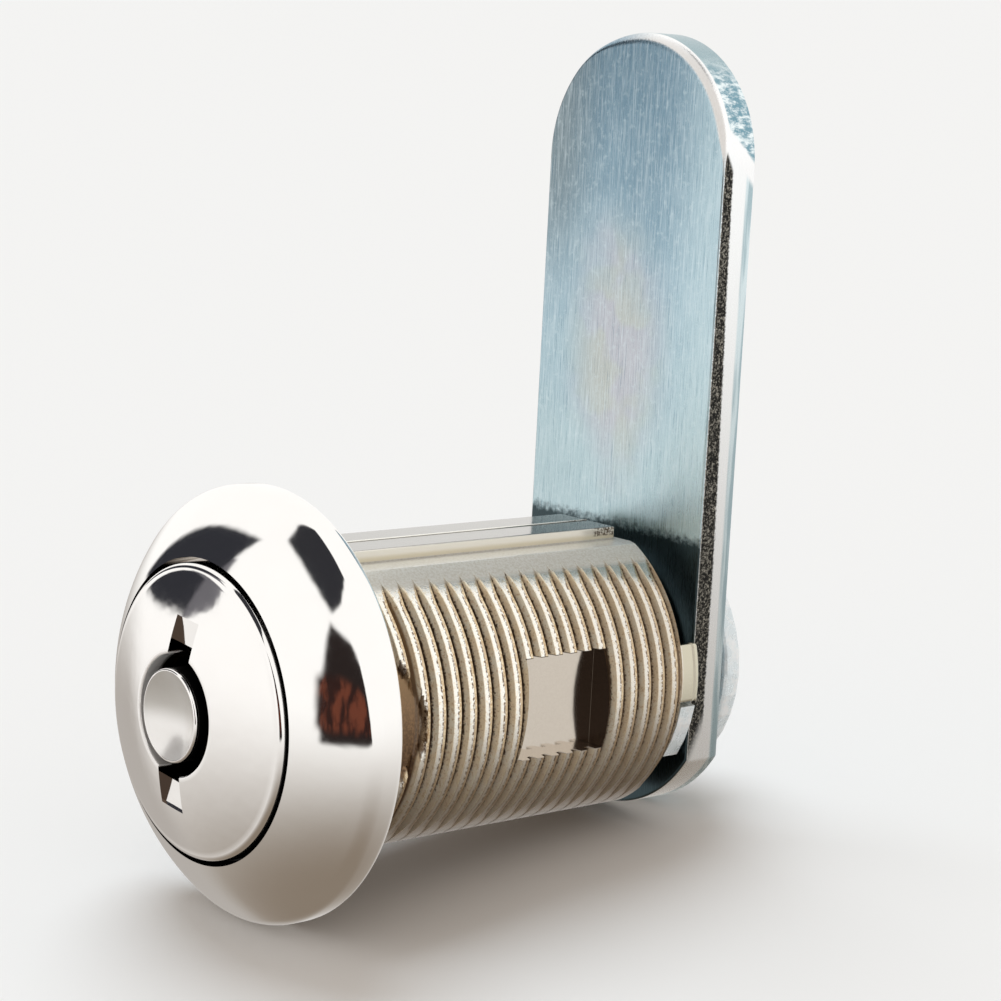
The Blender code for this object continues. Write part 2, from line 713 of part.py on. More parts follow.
def tab_angles():
    """Centres of the two tabs: one against the lug at rest, one after the cam's turn."""
    step = (LUG_WIDTH_ANGLE + TAB_WIDTH_ANGLE) / 2 + TAB_REST_GAP_ANGLE
    return (LUG_CENTRE_ANGLE - step, LUG_CENTRE_ANGLE + step + CAM_TURN_ANGLE)


def stop_washer_outline():
    """The disc's outline, with its two stop tabs, going round from +X towards +Z."""
    outline = []
    half = TAB_WIDTH_ANGLE / 2
    first, second = tab_angles()
    for centre, following in ((first, second), (second, first + 360)):
        outline += arc((0, 0), TAB_OUTER_RADIUS, centre - half, centre + half, FILLET_STEPS)
        outline += arc((0, 0), STOP_DISC_RADIUS, centre + half, following - half, ARC_STEPS // 2)
    return outline


def make_stop_washer():
    back = STOP_WASHER_FRONT + STOP_WASHER_THICKNESS
    washer = plate("stop_washer", [stop_washer_outline(), tail_hole()], STOP_WASHER_FRONT, back)
    return finish_part(washer, ZINC_PLATE)


def cam_outline():
    """A straight bar with a round tip, and a foot that is an arc about the pivot."""
    tip_centre = (0, CAM_TIP_HEIGHT - CAM_HALF_WIDTH)
    tip = arc(tip_centre, CAM_HALF_WIDTH, 0, 180, ARC_STEPS)
    foot_angle = math.degrees(math.acos(CAM_HALF_WIDTH / CAM_FOOT_RADIUS))
    foot = arc((0, 0), CAM_FOOT_RADIUS, 180 + foot_angle, 360 - foot_angle, ARC_STEPS // 2)
    return tip + foot


def make_cam():
    cam = plate("cam", [cam_outline(), tail_hole()], CAM_FRONT, CAM_FRONT + CAM_THICKNESS)
    bevel(cam, CAM_EDGE, angle=60.0)
    return finish_part(cam, ZINC_PLATE)


def make_cam_washer():
    back = CAM_WASHER_FRONT + CAM_WASHER_THICKNESS
    inner = SHAFT_RADIUS + RUNNING_GAP
    outer = CAM_WASHER_RADIUS
    edge = CAM_WASHER_EDGE
    rear = arc((outer - edge, back - edge), edge, 90, 0, FILLET_STEPS)
    front = arc((outer - edge, CAM_WASHER_FRONT + edge), edge, 0, -90, FILLET_STEPS)
    profile = rear + front + [(inner, CAM_WASHER_FRONT), (inner, back)]
    return finish_part(turned("cam_washer", profile, WASHER_STEPS), ZINC_PLATE)


def make_cam_nut():
    """A hexagon with its corners turned off on both faces."""
    corner = NUT_ACROSS_FLATS / math.sqrt(3)
    back = NUT_FRONT + NUT_THICKNESS
    outline = [polar(corner, 60.0 * step) for step in range(6)]
    hole = arc((0, 0), SHAFT_RADIUS + RUNNING_GAP, 0, 360, NUT_STEPS)[:-1]
    nut = plate("cam_nut", [outline, hole], NUT_FRONT, back)
    face = NUT_ACROSS_FLATS / 2
    reach = corner + OVERSHOOT
    drop = (reach - face) * NUT_CHAMFER / (corner - face)
    profile = [(0.0, back), (face, back), (reach, back - drop), (reach, NUT_FRONT + drop),
               (face, NUT_FRONT), (0.0, NUT_FRONT)]
    turned_corners = make_cutter(turned("nut_corners", profile, NUT_STEPS, closed=False))
    boolean(nut, turned_corners, "INTERSECT")
    return finish_part(nut, NICKEL_STEEL)


clear_scene()
parts = new_collection("cam_lock")
cutters = new_collection("cutters")
make_housing()
make_plug()
make_sleeve()
make_sleeve_pin()
make_pin_stacks()
make_stop_washer()
make_cam()
make_cam_washer()
make_cam_nut()
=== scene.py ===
"""The looks of the cam lock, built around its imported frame.

Metres, +Z up. The lock's axis is Y: the face looks to -Y and the cam is at +Y, pointing up.
"""
import math

import bmesh
import bpy
from mathutils import Matrix, Vector


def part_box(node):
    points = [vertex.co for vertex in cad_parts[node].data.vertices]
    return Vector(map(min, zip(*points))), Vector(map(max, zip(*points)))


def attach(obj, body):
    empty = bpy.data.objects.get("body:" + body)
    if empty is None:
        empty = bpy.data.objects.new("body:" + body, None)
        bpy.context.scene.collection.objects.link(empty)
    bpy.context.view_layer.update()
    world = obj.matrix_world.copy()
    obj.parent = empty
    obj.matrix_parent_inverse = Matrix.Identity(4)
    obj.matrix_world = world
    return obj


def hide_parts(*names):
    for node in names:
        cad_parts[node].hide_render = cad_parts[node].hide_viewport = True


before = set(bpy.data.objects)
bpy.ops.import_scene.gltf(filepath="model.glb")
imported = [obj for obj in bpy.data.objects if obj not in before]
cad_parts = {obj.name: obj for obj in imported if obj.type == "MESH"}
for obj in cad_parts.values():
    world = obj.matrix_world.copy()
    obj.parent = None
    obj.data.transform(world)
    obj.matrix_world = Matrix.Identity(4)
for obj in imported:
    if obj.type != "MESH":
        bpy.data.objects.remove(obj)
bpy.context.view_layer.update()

MM = 0.001

# Camera
CAMERA_AZIMUTH = 49.398
CAMERA_ELEVATION = 9.187
CAMERA_ROLL = 2.962
CAMERA_PLACE = (122.23 * MM, -87.69 * MM, 36.99 * MM)
CAMERA_LENS = 93.53
SENSOR_WIDTH = 36.0
CLIP_START = 5 * MM
CLIP_END = 20.0

# Sizes that the frame gives
HOUSING_LOW, HOUSING_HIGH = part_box("housing")
PLUG_LOW, PLUG_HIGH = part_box("plug")
CAM_LOW, CAM_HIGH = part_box("cam")
BEZEL_RADIUS = HOUSING_HIGH.x
BEZEL_HEIGHT = -HOUSING_LOW.y
POST_HEIGHT = -PLUG_LOW.y
TAIL_END = PLUG_HIGH.y
CAM_FRONT = CAM_LOW.y
CAM_BACK = CAM_HIGH.y
CAM_HALF_WIDTH = CAM_HIGH.x
CAM_TIP_HEIGHT = CAM_HIGH.z
CAM_FOOT_RADIUS = -CAM_LOW.z

# Bezel
BEZEL_BACK_FILLET = 0.5 * MM
BEZEL_EDGE_RADIUS = 1.6 * MM
BEZEL_EDGE_CENTRE_DEPTH = 1.3 * MM
BEZEL_DOME_RADIUS = 14.0 * MM
RIM_RADIUS = 9.0 * MM
RIM_EDGE = 0.12 * MM
SEAT_DEPTH = 2.85 * MM

# Barrel
THREAD_RADIUS = 9.5 * MM
ROOT_RADIUS = 8.98 * MM
THREAD_PITCH = 1.165 * MM
THREAD_PHASE = 0.30 * MM
BARREL_LENGTH = 25.0 * MM
BARREL_CHAMFER = 0.35 * MM
FLAT_HEIGHT = 8.4 * MM
BORE_RADIUS = 7.0 * MM
REAR_WALL = 5.0 * MM
RIB_WIDTH = 5.2 * MM
RIB_HEIGHT = 0.8 * MM
RIB_END_GAP = 0.4 * MM
RIB_EDGE = 0.15 * MM
SEAM_WIDTH = 0.22 * MM
SEAM_HEIGHT = 0.05 * MM
POCKET_START = 12.1 * MM
POCKET_LENGTH = 6.5 * MM
POCKET_HEIGHT = 6.2 * MM
POCKET_FLOOR = 7.75 * MM
SLEEVE_PIN_HOLE_RADIUS = 1.2 * MM
SLEEVE_PIN_PLACE = 10.0 * MM
SLEEVE_PIN_DEPTH = 5.5 * MM
NECK_END = 4.05 * MM
NECK_CORNER_END = 0.6 * MM
NECK_FADE = 0.45 * MM

# Angles from the X axis between which the neck's end moves to its place beside a flat
NECK_TURN_START = 2.0
NECK_TURN_END = 48.0

# Where the thread runs out beside the flats, as angles from the X axis
RUNOUT_START = 43.0
RUNOUT_END = 57.0
RUNOUT_LEAST_WIDTH = 0.04

# One ridge of the thread: place along the axis from its front foot, and height from root to crest
RIDGE = ((0.0 * MM, 0.0), (0.11 * MM, 0.50), (0.20 * MM, 0.94), (0.25 * MM, 1.0), (0.36 * MM, 1.0),
         (0.48 * MM, 1.0), (0.60 * MM, 1.0), (0.72 * MM, 1.0), (0.80 * MM, 0.86), (0.95 * MM, 0.0),
         (1.06 * MM, 0.0))
RIDGE_MIDDLE = 0.48 * MM

# Stop lug, as angles from +X towards +Z
LUG_INNER_RADIUS = 7.8 * MM
LUG_OUTER_RADIUS = 9.2 * MM
LUG_LENGTH = 1.5 * MM
LUG_EDGE = 0.5 * MM
LUG_CENTRE_ANGLE = 5.0
LUG_WIDTH_ANGLE = 24.0

# Plug
FACE_RADIUS = 8.7 * MM
FACE_EDGE_RADIUS = 0.4 * MM
FACE_EDGE_HEIGHT = 5.5 * MM
FACE_DOME_RADIUS = 22.0 * MM
KEYWAY_RADIUS = 3.55 * MM
KEYWAY_EDGE = 0.12 * MM
KEYWAY_FLOOR = -1.0 * MM
POST_RADIUS = 2.75 * MM
POST_EDGE_RADIUS = 0.15 * MM
POST_DISH_DEPTH = 0.85 * MM
NOTCH_REACH = 5.7 * MM
NOTCH_SHELF_START = 4.1 * MM
NOTCH_WIDTH = 2.2 * MM
NOTCH_DEPTH = 6.2 * MM
NOTCH_TILT = 5.0
SHAFT_RADIUS = 2.5 * MM
DRUM_RADIUS = 6.7 * MM
DRUM_BACK = 1.85 * MM
DRUM_FRONT = -3.15 * MM
TAIL_HALF_WIDTH = 1.9 * MM
TAIL_CHAMFER = 0.4 * MM
PIN_COUNT = 7
PIN_CIRCLE_RADIUS = 3.95 * MM
CHAMBER_RADIUS = 0.95 * MM
CHAMBER_FRONT = -5.0 * MM
TAIL_THREAD_DEPTH = 0.18 * MM
TAIL_THREAD_PITCH = 0.8 * MM

# Cam
CAM_FRONT_ROLL = 0.75 * MM
CAM_PLAIN_ROLL_SHARE = 0.22
CAM_ROLL_TIP_FADE = 2.5 * MM
CAM_ROLL_START = -6.0 * MM
CAM_ROLL_FADE = 5.0 * MM
CAM_BACK_EDGE = 0.12 * MM
TAIL_HOLE_GAP = 0.3 * MM

# Facets
STEPS = 192
THREAD_STEPS = 216
CHAMBER_STEPS = 24
ARC_STEPS = 96
DOME_STEPS = 20
HOLE_STEPS = 16
DISH_STEPS = 14
EDGE_STEPS = 12
RIM_STEPS = 8
FILLET_STEPS = 6
KEYWAY_STEPS = 4
MERGE_DISTANCE = MM / 1000

# Shared by materials: colour of the black painted shade in gaps and hollows, heights between which
# that painted shade fades, and grain
GAP_SHADE = (0.012, 0.011, 0.010)
GAP_SHADE_FADE = (7.5, 5.0)
WAVE_SCALE = 0.35
POLISH_SCALE = 2.0

# Stage
FLOOR_SLOPE = 6.5
FLOOR_SIZE = 4.0
FLOOR_COLOUR = (0.86, 0.855, 0.85, 1.0)
PALE = (0.845, 0.843, 0.84)
DIFFUSE_LIGHT = (0.62, 0.57, 0.52)
LAMP_COLOUR = (0.82, 0.92, 1.0)
LAMP_STRENGTH = 1.92
LAMP_ANGLE = 42.0
LAMP_SIDE = (-110.0, 62.0)
OVERSHOOT = 1.0 * MM


# Small helpers

def smoothstep(value):
    value = min(max(value, 0.0), 1.0)
    return value * value * (3.0 - 2.0 * value)


def polar(radius, degrees):
    angle = math.radians(degrees)
    return (radius * math.cos(angle), radius * math.sin(angle))


def arc(centre, radius, start, end, points):
    """Points of an arc about a centre, from one angle in degrees to another."""
    result = []
    for step in range(points + 1):
        x, y = polar(radius, start + (end - start) * step / points)
        result.append((centre[0] + x, centre[1] + y))
    return result


def add_object(name, mesh):
    obj = bpy.data.objects.new(name, mesh)
    bpy.context.scene.collection.objects.link(obj)
    return obj


def bake(obj):
    """Replace an object by one that holds its evaluated mesh, in world space."""
    bpy.context.view_layer.update()
    depsgraph = bpy.context.evaluated_depsgraph_get()
    mesh = bpy.data.meshes.new_from_object(obj.evaluated_get(depsgraph))
    mesh.transform(obj.matrix_world)
    name = obj.name
    bpy.data.objects.remove(obj, do_unlink=True)
    return add_object(name, mesh)


def weld(obj):
    mesh = bmesh.new()
    mesh.from_mesh(obj.data)
    bmesh.ops.remove_doubles(mesh, verts=mesh.verts, dist=MERGE_DISTANCE)
    bmesh.ops.recalc_face_normals(mesh, faces=mesh.faces)
    mesh.to_mesh(obj.data)
    mesh.free()


def boolean(obj, tool, operation):
    modifier = obj.modifiers.new(operation.lower(), "BOOLEAN")
    modifier.operation = operation
    modifier.solver = "EXACT"
    modifier.object = tool


def cut(obj, steps):
    """Bake an object with boolean steps of (tool, operation), and remove the tools."""
    for tool, operation in steps:
        boolean(obj, tool, operation)
    result = bake(obj)
    for tool, _ in steps:
        bpy.data.objects.remove(tool, do_unlink=True)
    return result


def turned(name, profile, closed=True):
    """Turn a profile of (radius, place along the lock's axis) about that axis."""
    mesh = bpy.data.meshes.new(name)
    edges = [(index, index + 1) for index in range(len(profile) - 1)]
    if closed:
        edges.append((len(profile) - 1, 0))
    mesh.from_pydata([(radius, 0.0, place) for radius, place in profile], edges, [])
    obj = add_object(name, mesh)
    screw = obj.modifiers.new("turn", "SCREW")
    screw.steps = STEPS
    screw.render_steps = STEPS
    screw.use_merge_vertices = True
    screw.merge_threshold = MERGE_DISTANCE
    obj.rotation_euler = (math.radians(-90), 0, 0)
    return bake(obj)


def plate(name, outlines, front, back):
    """A flat plate across the lock's axis, from outlines of (x, z) points."""
    curve = bpy.data.curves.new(name, "CURVE")
    curve.dimensions = "2D"
    curve.fill_mode = "BOTH"
    curve.extrude = (back - front) / 2
    for outline in outlines:
        spline = curve.splines.new("POLY")
        spline.points.add(len(outline) - 1)
        for point, (x, z) in zip(spline.points, outline):
            point.co = (x, z, 0.0, 1.0)
        spline.use_cyclic_u = True
    obj = add_object(name, curve)
    obj.rotation_euler = (math.radians(90), 0, 0)
    obj.location = (0, (front + back) / 2, 0)
    baked = bake(obj)
    weld(baked)
    return baked


def object_from(name, mesh):
    """An object that takes over a bmesh."""
    data = bpy.data.meshes.new(name)
    mesh.to_mesh(data)
    mesh.free()
    return add_object(name, data)


def block(name, low, high):
    mesh = bmesh.new()
    bmesh.ops.create_cube(mesh, size=1.0)
    centre = [(a + b) / 2 for a, b in zip(low, high)]
    size = [b - a for a, b in zip(low, high)]
    bmesh.ops.transform(mesh, verts=mesh.verts,
                        matrix=Matrix.Translation(centre) @ Matrix.Diagonal((*size, 1.0)))
    return object_from(name, mesh)


def cylinder(name, radius, length, matrix):
    """A closed cylinder along Z about the origin, moved by a matrix."""
    mesh = bmesh.new()
    bmesh.ops.create_cone(mesh, cap_ends=True, segments=CHAMBER_STEPS, radius1=radius,
                          radius2=radius, depth=length)
    bmesh.ops.transform(mesh, verts=mesh.verts, matrix=matrix)
    return object_from(name, mesh)


def bevel(obj, width, segments=2, angle=40.0):
    modifier = obj.modifiers.new("edges", "BEVEL")
    modifier.width = width
    modifier.segments = segments
    modifier.limit_method = "ANGLE"
    modifier.angle_limit = math.radians(angle)


def finish_piece(obj, material, body, node, smooth_angle=32.0):
    """Dress a piece, shade it smooth and let it stand for its CAD node."""
    obj.data.materials.clear()
    obj.data.materials.append(material)
    obj.data.shade_smooth()
    obj.data.set_sharp_from_angle(angle=math.radians(smooth_angle))
    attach(obj, body)
    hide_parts(node)
    return obj


# Nodes

class Shader:
    """A material's or world's node tree, with short calls to add its nodes.

    After locate(), place is the point of the piece in millimetres, x, y and z are its coordinates,
    and radius is its distance from the lock's axis.
    """

    def __init__(self, tree):
        self.tree = tree

    def add(self, kind, **values):
        node = self.tree.nodes.new(kind)
        for name, value in values.items():
            setattr(node, name, value)
        return node

    def set(self, socket, value):
        if isinstance(value, bpy.types.NodeSocket):
            self.tree.links.new(value, socket)
        else:
            socket.default_value = value

    def split(self, vector):
        node = self.add("ShaderNodeSeparateXYZ")
        self.set(node.inputs[0], vector)
        return tuple(node.outputs)

    def locate(self):
        scaled = self.add("ShaderNodeVectorMath", operation="SCALE")
        self.set(scaled.inputs[0], self.add("ShaderNodeTexCoord").outputs["Object"])
        scaled.inputs["Scale"].default_value = 1.0 / MM
        self.place = scaled.outputs[0]
        self.x, self.y, self.z = self.split(self.place)
        self.radius = self.length(self.x, self.z)

    def normal(self):
        """The surface's own normal in the piece's frame, split."""
        return self.split(self.add("ShaderNodeTexCoord").outputs["Normal"])

    def math(self, operation, first, second=0.0):
        node = self.add("ShaderNodeMath", operation=operation)
        self.set(node.inputs[0], first)
        self.set(node.inputs[1], second)
        return node.outputs[0]

    def plus(self, first, second):
        return self.math("ADD", first, second)

    def minus(self, first, second):
        return self.math("SUBTRACT", first, second)

    def inverse(self, share):
        return self.minus(1.0, share)

    def product(self, first, *others):
        for other in others:
            first = self.math("MULTIPLY", first, other)
        return first

    def most(self, first, *others):
        for other in others:
            first = self.math("MAXIMUM", first, other)
        return first

    def length(self, first, second):
        squares = self.plus(self.product(first, first), self.product(second, second))
        return self.math("SQRT", squares)

    def ramp(self, value, low, high):
        """0 below low, 1 above high, smooth between. With low above high it falls."""
        node = self.add("ShaderNodeMapRange", interpolation_type="SMOOTHSTEP")
        falling = low > high
        self.set(node.inputs["Value"], value)
        self.set(node.inputs["From Min"], min(low, high))
        self.set(node.inputs["From Max"], max(low, high))
        self.set(node.inputs["To Min"], 1.0 if falling else 0.0)
        self.set(node.inputs["To Max"], 0.0 if falling else 1.0)
        return node.outputs[0]

    def where(self, *limits):
        """The product of ramps, each given as its value, low and high."""
        return self.product(*(self.ramp(*limit) for limit in limits))

    def blend(self, share, first, second):
        """Two colours mixed by a share."""
        node = self.add("ShaderNodeMix", data_type="RGBA")
        self.set(node.inputs[0], share)
        for socket, value in ((node.inputs[6], first), (node.inputs[7], second)):
            if isinstance(value, tuple):
                value = (*value, 1.0)
            self.set(socket, value)
        return node.outputs[2]

    def layers(self, colour, *layers):
        """A colour with others laid over it, each given as its share and its colour."""
        for share, layer in layers:
            colour = self.blend(share, colour, layer)
        return colour

    def blend_value(self, share, first, second):
        node = self.add("ShaderNodeMix", data_type="FLOAT")
        self.set(node.inputs[0], share)
        self.set(node.inputs[2], first)
        self.set(node.inputs[3], second)
        return node.outputs[0]

    def noise(self, scale, detail, roughness=0.5, vector=None):
        node = self.add("ShaderNodeTexNoise")
        self.set(node.inputs["Vector"], vector or self.place)
        self.set(node.inputs["Scale"], scale)
        self.set(node.inputs["Detail"], detail)
        self.set(node.inputs["Roughness"], roughness)
        return node.outputs["Fac"]

    def stretched(self, vector, scale):
        node = self.add("ShaderNodeMapping")
        self.set(node.inputs["Vector"], vector)
        node.inputs["Scale"].default_value = scale
        return node.outputs["Vector"]

    def bump(self, height, distance):
        node = self.add("ShaderNodeBump")
        self.set(node.inputs["Height"], height)
        node.inputs["Distance"].default_value = distance
        return node.outputs[0]


def metal(name):
    """A new metallic material: its node helper and its Principled shader's inputs."""
    material = bpy.data.materials.new(name)
    material.use_nodes = True
    mix = Shader(material.node_tree)
    mix.locate()
    inputs = material.node_tree.nodes["Principled BSDF"].inputs
    inputs["Metallic"].default_value = 1.0
    return material, mix, inputs


# Materials, whose places are in millimetres and mostly measured from the piece's own edges

def plug_gap_shade(mix, worn_lip):
    """Share of black painted shade: round the face's edge, in the keyway and in the pins' chambers."""
    face = FACE_RADIUS / MM
    front = -FACE_EDGE_HEIGHT / MM
    post = POST_RADIUS / MM
    keyway = KEYWAY_RADIUS / MM
    tip = -POST_HEIGHT / MM
    reach = (PIN_CIRCLE_RADIUS + CHAMBER_RADIUS) / MM
    end = CHAMBER_FRONT / MM
    back = DRUM_BACK / MM
    edge = mix.where((mix.y, front + 0.25, front + 0.45), (mix.z, *GAP_SHADE_FADE),
                     (mix.radius, face - 0.04, face - 0.01))
    inside = mix.where((mix.radius, post - 0.02, post), (mix.radius, keyway + 0.05, keyway + 0.01),
                       (mix.y, tip + 0.20, tip + 0.30))
    chambers = mix.where((mix.radius, reach + 0.3, reach + 0.1), (mix.y, end - 0.6, end - 0.3))
    return mix.product(mix.most(edge, inside, chambers), mix.inverse(worn_lip),
                       mix.ramp(mix.y, back + 0.15, back + 0.05))


def chrome_material():
    """Bright plating over cast zinc, with faint waves and haze, painted shade in the post's dish and
    on the notches' side walls, and black painted shade in its gaps.
    """
    material, mix, inputs = metal("plug_chrome_finish")
    keyway = KEYWAY_RADIUS / MM
    post = POST_RADIUS / MM
    reach = NOTCH_REACH / MM
    tip = -POST_HEIGHT / MM
    worn_lip = mix.where((mix.radius, keyway - 0.15, keyway - 0.10),
                         (mix.radius, keyway + 0.20, keyway + 0.07), (mix.y, tip + 1.45, tip + 1.05),
                         (mix.x, 0.6, -0.6))
    # Dark brown painted shade on the notches' side walls that face +X
    notch_wall_shade = mix.where((mix.radius, keyway + 0.07, keyway + 0.15),
                           (mix.radius, reach + 0.3, reach + 0.2), (mix.normal()[0], 0.55, 0.75))
    dish = mix.where((mix.radius, post - 0.13, post - 0.19), (mix.y, tip + 2.65, tip + 2.15))
    # Painted shade in the post's dish: grey towards its top, white towards its bottom
    dish_shade = mix.blend(mix.ramp(mix.z, -0.9, 0.5), (0.99, 0.98, 0.97), (0.62, 0.60, 0.57))
    # Black painted shade round the face's edge, in the keyway and in the pins' chambers
    gap_shade = plug_gap_shade(mix, worn_lip)
    haze = mix.noise(WAVE_SCALE, 3.0)
    colour = mix.layers((0.93, 0.905, 0.885), (haze, (0.965, 0.95, 0.935)), (dish, dish_shade),
                        (notch_wall_shade, (0.09, 0.065, 0.05)), (gap_shade, GAP_SHADE))
    mix.set(inputs["Base Color"], colour)
    mix.set(inputs["Metallic"], mix.inverse(mix.product(mix.most(dish, worn_lip), 0.6)))
    smooth = mix.blend_value(mix.noise(POLISH_SCALE, 4.0), 0.04, 0.11)
    smooth = mix.blend_value(dish, smooth, 0.22)
    mix.set(inputs["Roughness"], mix.blend_value(gap_shade, smooth, 0.5))
    mix.set(inputs["Normal"], mix.bump(mix.noise(0.9, 1.0), 0.010 * MM))
    return material


def thread_offset(mix):
    """Distance along the axis behind the front foot of the ridge, from 0 to one pitch."""
    turn = mix.math("DIVIDE", mix.math("ARCTAN2", mix.z, mix.x), 2.0 * math.pi)
    along = mix.math("DIVIDE", mix.minus(mix.y, THREAD_PHASE / MM), THREAD_PITCH / MM)
    return mix.product(mix.math("FRACT", mix.plus(along, turn)), THREAD_PITCH / MM)


def flank_colour_and_highlight(mix, offset, fine, patch):
    """Golden on the flanks, and a painted white highlight on the front part of the crests."""
    # This white is a painted highlight
    white = mix.blend(mix.ramp(fine, 0.50, 0.70), (0.99, 0.97, 0.90), (0.92, 0.82, 0.64))
    return mix.layers((1.0, 0.93, 0.76), (mix.ramp(patch, 0.35, 0.65), (0.98, 0.82, 0.58)),
                      (mix.ramp(fine, 0.52, 0.66), (0.72, 0.54, 0.34)),
                      (mix.ramp(offset, 0.19, 0.27), white))


def crest_and_reflection_line_layers(mix, past, runout, fine, patch):
    """The rear part of the crests: brassy, with a painted dark reflection line along its front."""
    crest = mix.layers((0.56, 0.39, 0.22), (mix.ramp(fine, 0.38, 0.62), (0.88, 0.74, 0.52)),
                       (mix.ramp(patch, 0.45, 0.70), (0.64, 0.50, 0.34)))
    # The thin dark line is a painted reflection of dark surroundings
    line = mix.where((past, -0.08, -0.02), (past, 0.07, 0.02), (fine, 0.40, 0.56),
                     (runout, 0.5, 0.1))
    return (mix.ramp(past, 0.0, 0.06), crest), (line, (0.15, 0.085, 0.05))


def groove_share(mix, ragged, width):
    """Share of the groove, which lies at both ends of a pitch and narrows to a point."""
    front = mix.minus(mix.product(width, 0.065), ragged)
    back = mix.minus(mix.product(width, 0.36), mix.minus(THREAD_PITCH / MM, ragged))
    groove = mix.most(mix.ramp(front, -0.02, 0.03), mix.ramp(back, -0.03, 0.05))
    return mix.product(groove, mix.ramp(width, 0.02, 0.16))


def thread_colour(mix):
    """The thread's colour, with a painted highlight, a painted dark reflection line, painted shade in
    the grooves and towards the underside, and the shares of its front flank, its groove and its
    run-out.
    """
    offset = thread_offset(mix)
    angle = mix.math("ARCTAN2", mix.math("ABSOLUTE", mix.z), mix.math("ABSOLUTE", mix.x))
    runout = mix.ramp(angle, math.radians(RUNOUT_START), math.radians(RUNOUT_END))
    fine = mix.noise(6.0, 3.0, 0.7)
    patch = mix.noise(0.6, 3.0, 0.6)
    ragged = mix.plus(offset, mix.product(mix.minus(fine, 0.5), 0.22))
    past = mix.minus(ragged, mix.plus(mix.product(runout, 0.5), 0.52))
    groove = groove_share(mix, ragged, mix.inverse(runout))
    colour = mix.layers(
        flank_colour_and_highlight(mix, offset, fine, patch), *crest_and_reflection_line_layers(mix, past, runout, fine, patch),
        # Dark brown in the grooves is painted shade
        (groove, (0.075, 0.045, 0.027)),
        (mix.product(mix.ramp(mix.y, 10.0, 26.0), 0.35), (0.28, 0.20, 0.13)),
        # Darker towards the underside: painted shade
        (mix.product(mix.ramp(mix.z, 0.5, -8.0), 0.75), (0.20, 0.15, 0.11)))
    return colour, mix.ramp(offset, 0.24, 0.19), groove, runout


def bezel_colour(mix):
    """Bright chrome, with black painted shade in the gap where the plug sits in the bezel."""
    rim = RIM_RADIUS / MM
    front = -BEZEL_HEIGHT / MM
    # Black painted shade in the gap round the plug, fading towards the top
    seat = mix.where((mix.radius, rim + 0.03, rim + 0.01), (mix.y, front + 0.40, front + 0.55),
                     (mix.z, *GAP_SHADE_FADE))
    haze = mix.noise(WAVE_SCALE, 3.0)
    return mix.layers((0.935, 0.915, 0.895), (haze, (0.97, 0.96, 0.945)), (seat, GAP_SHADE))


def neck_layer(mix, fine):
    """The relieved neck behind the bezel: brown, with painted light that makes it lighter towards its
    top.
    """
    end = NECK_END / MM
    root = ROOT_RADIUS / MM
    neck = mix.where((mix.y, end + 0.3, end), (mix.radius, root + 0.32, root + 0.14))
    # Brown for the neck, with painted light towards its top
    return neck, mix.layers((0.13, 0.08, 0.048), (mix.ramp(mix.z, -2.0, 7.0), (0.34, 0.23, 0.125)),
                            (mix.ramp(fine, 0.45, 0.60), (0.24, 0.15, 0.085)))


def land_share(mix, groove, runout):
    """Share of the plain land above the thread, where it has run out beside the upper flat."""
    flat = FLAT_HEIGHT / MM
    land = mix.where((runout, 0.55, 0.90), (mix.z, 5.0, 6.0))
    land = mix.most(mix.ramp(mix.z, flat - 0.78, flat - 0.48), land)
    return mix.product(land, mix.inverse(groove))


def flat_layers(mix, fine, on_flat):
    """The upper flat, pale grey, and on it the rib's cream sides and browned rear end."""
    flat = FLAT_HEIGHT / MM
    end = BARREL_LENGTH / MM
    grey = mix.blend(mix.ramp(fine, 0.45, 0.62), (0.72, 0.71, 0.67), (0.62, 0.60, 0.54))
    cream = mix.blend(mix.ramp(mix.z, flat + 0.5, flat + 0.2), (0.97, 0.94, 0.85), (0.86, 0.79, 0.62))
    rib_end = mix.where((mix.y, end - 2.4, end - 2.1), (fine, 0.42, 0.56),
                        (mix.z, flat + 0.22, flat + 0.32))
    return ((on_flat, grey), (mix.ramp(mix.z, flat + 0.06, flat + 0.12), cream),
            (rib_end, (0.16, 0.12, 0.085)))


def pocket_masks(mix):
    """Shares of the pocket's plated floor with its lower wall, which is painted as lit from above, and
    of its upper and rear walls, which get dark painted shade.
    """
    start = POCKET_START / MM
    end = start + POCKET_LENGTH / MM
    half = POCKET_HEIGHT / MM / 2
    floor = POCKET_FLOOR / MM
    inside = mix.where((mix.y, start - 0.05, start - 0.01), (mix.y, end + 0.06, end + 0.02),
                       (mix.z, -half - 0.06, -half - 0.02), (mix.z, half + 0.06, half + 0.02),
                       (mix.x, floor - 0.35, floor - 0.25))
    lower_wall = mix.ramp(mix.z, 0.06 - half, 0.02 - half)
    upper_wall = mix.ramp(mix.z, half - 0.06, half - 0.02)
    rear_wall = mix.where((mix.y, end - 0.08, end - 0.05), (mix.x, floor - 0.01, floor + 0.02))
    # The lower wall is painted as lit from above
    floor_and_lit_wall = mix.most(mix.ramp(mix.x, floor + 0.05, floor + 0.02), lower_wall)
    return mix.product(inside, floor_and_lit_wall), mix.product(inside, mix.most(rear_wall, upper_wall))


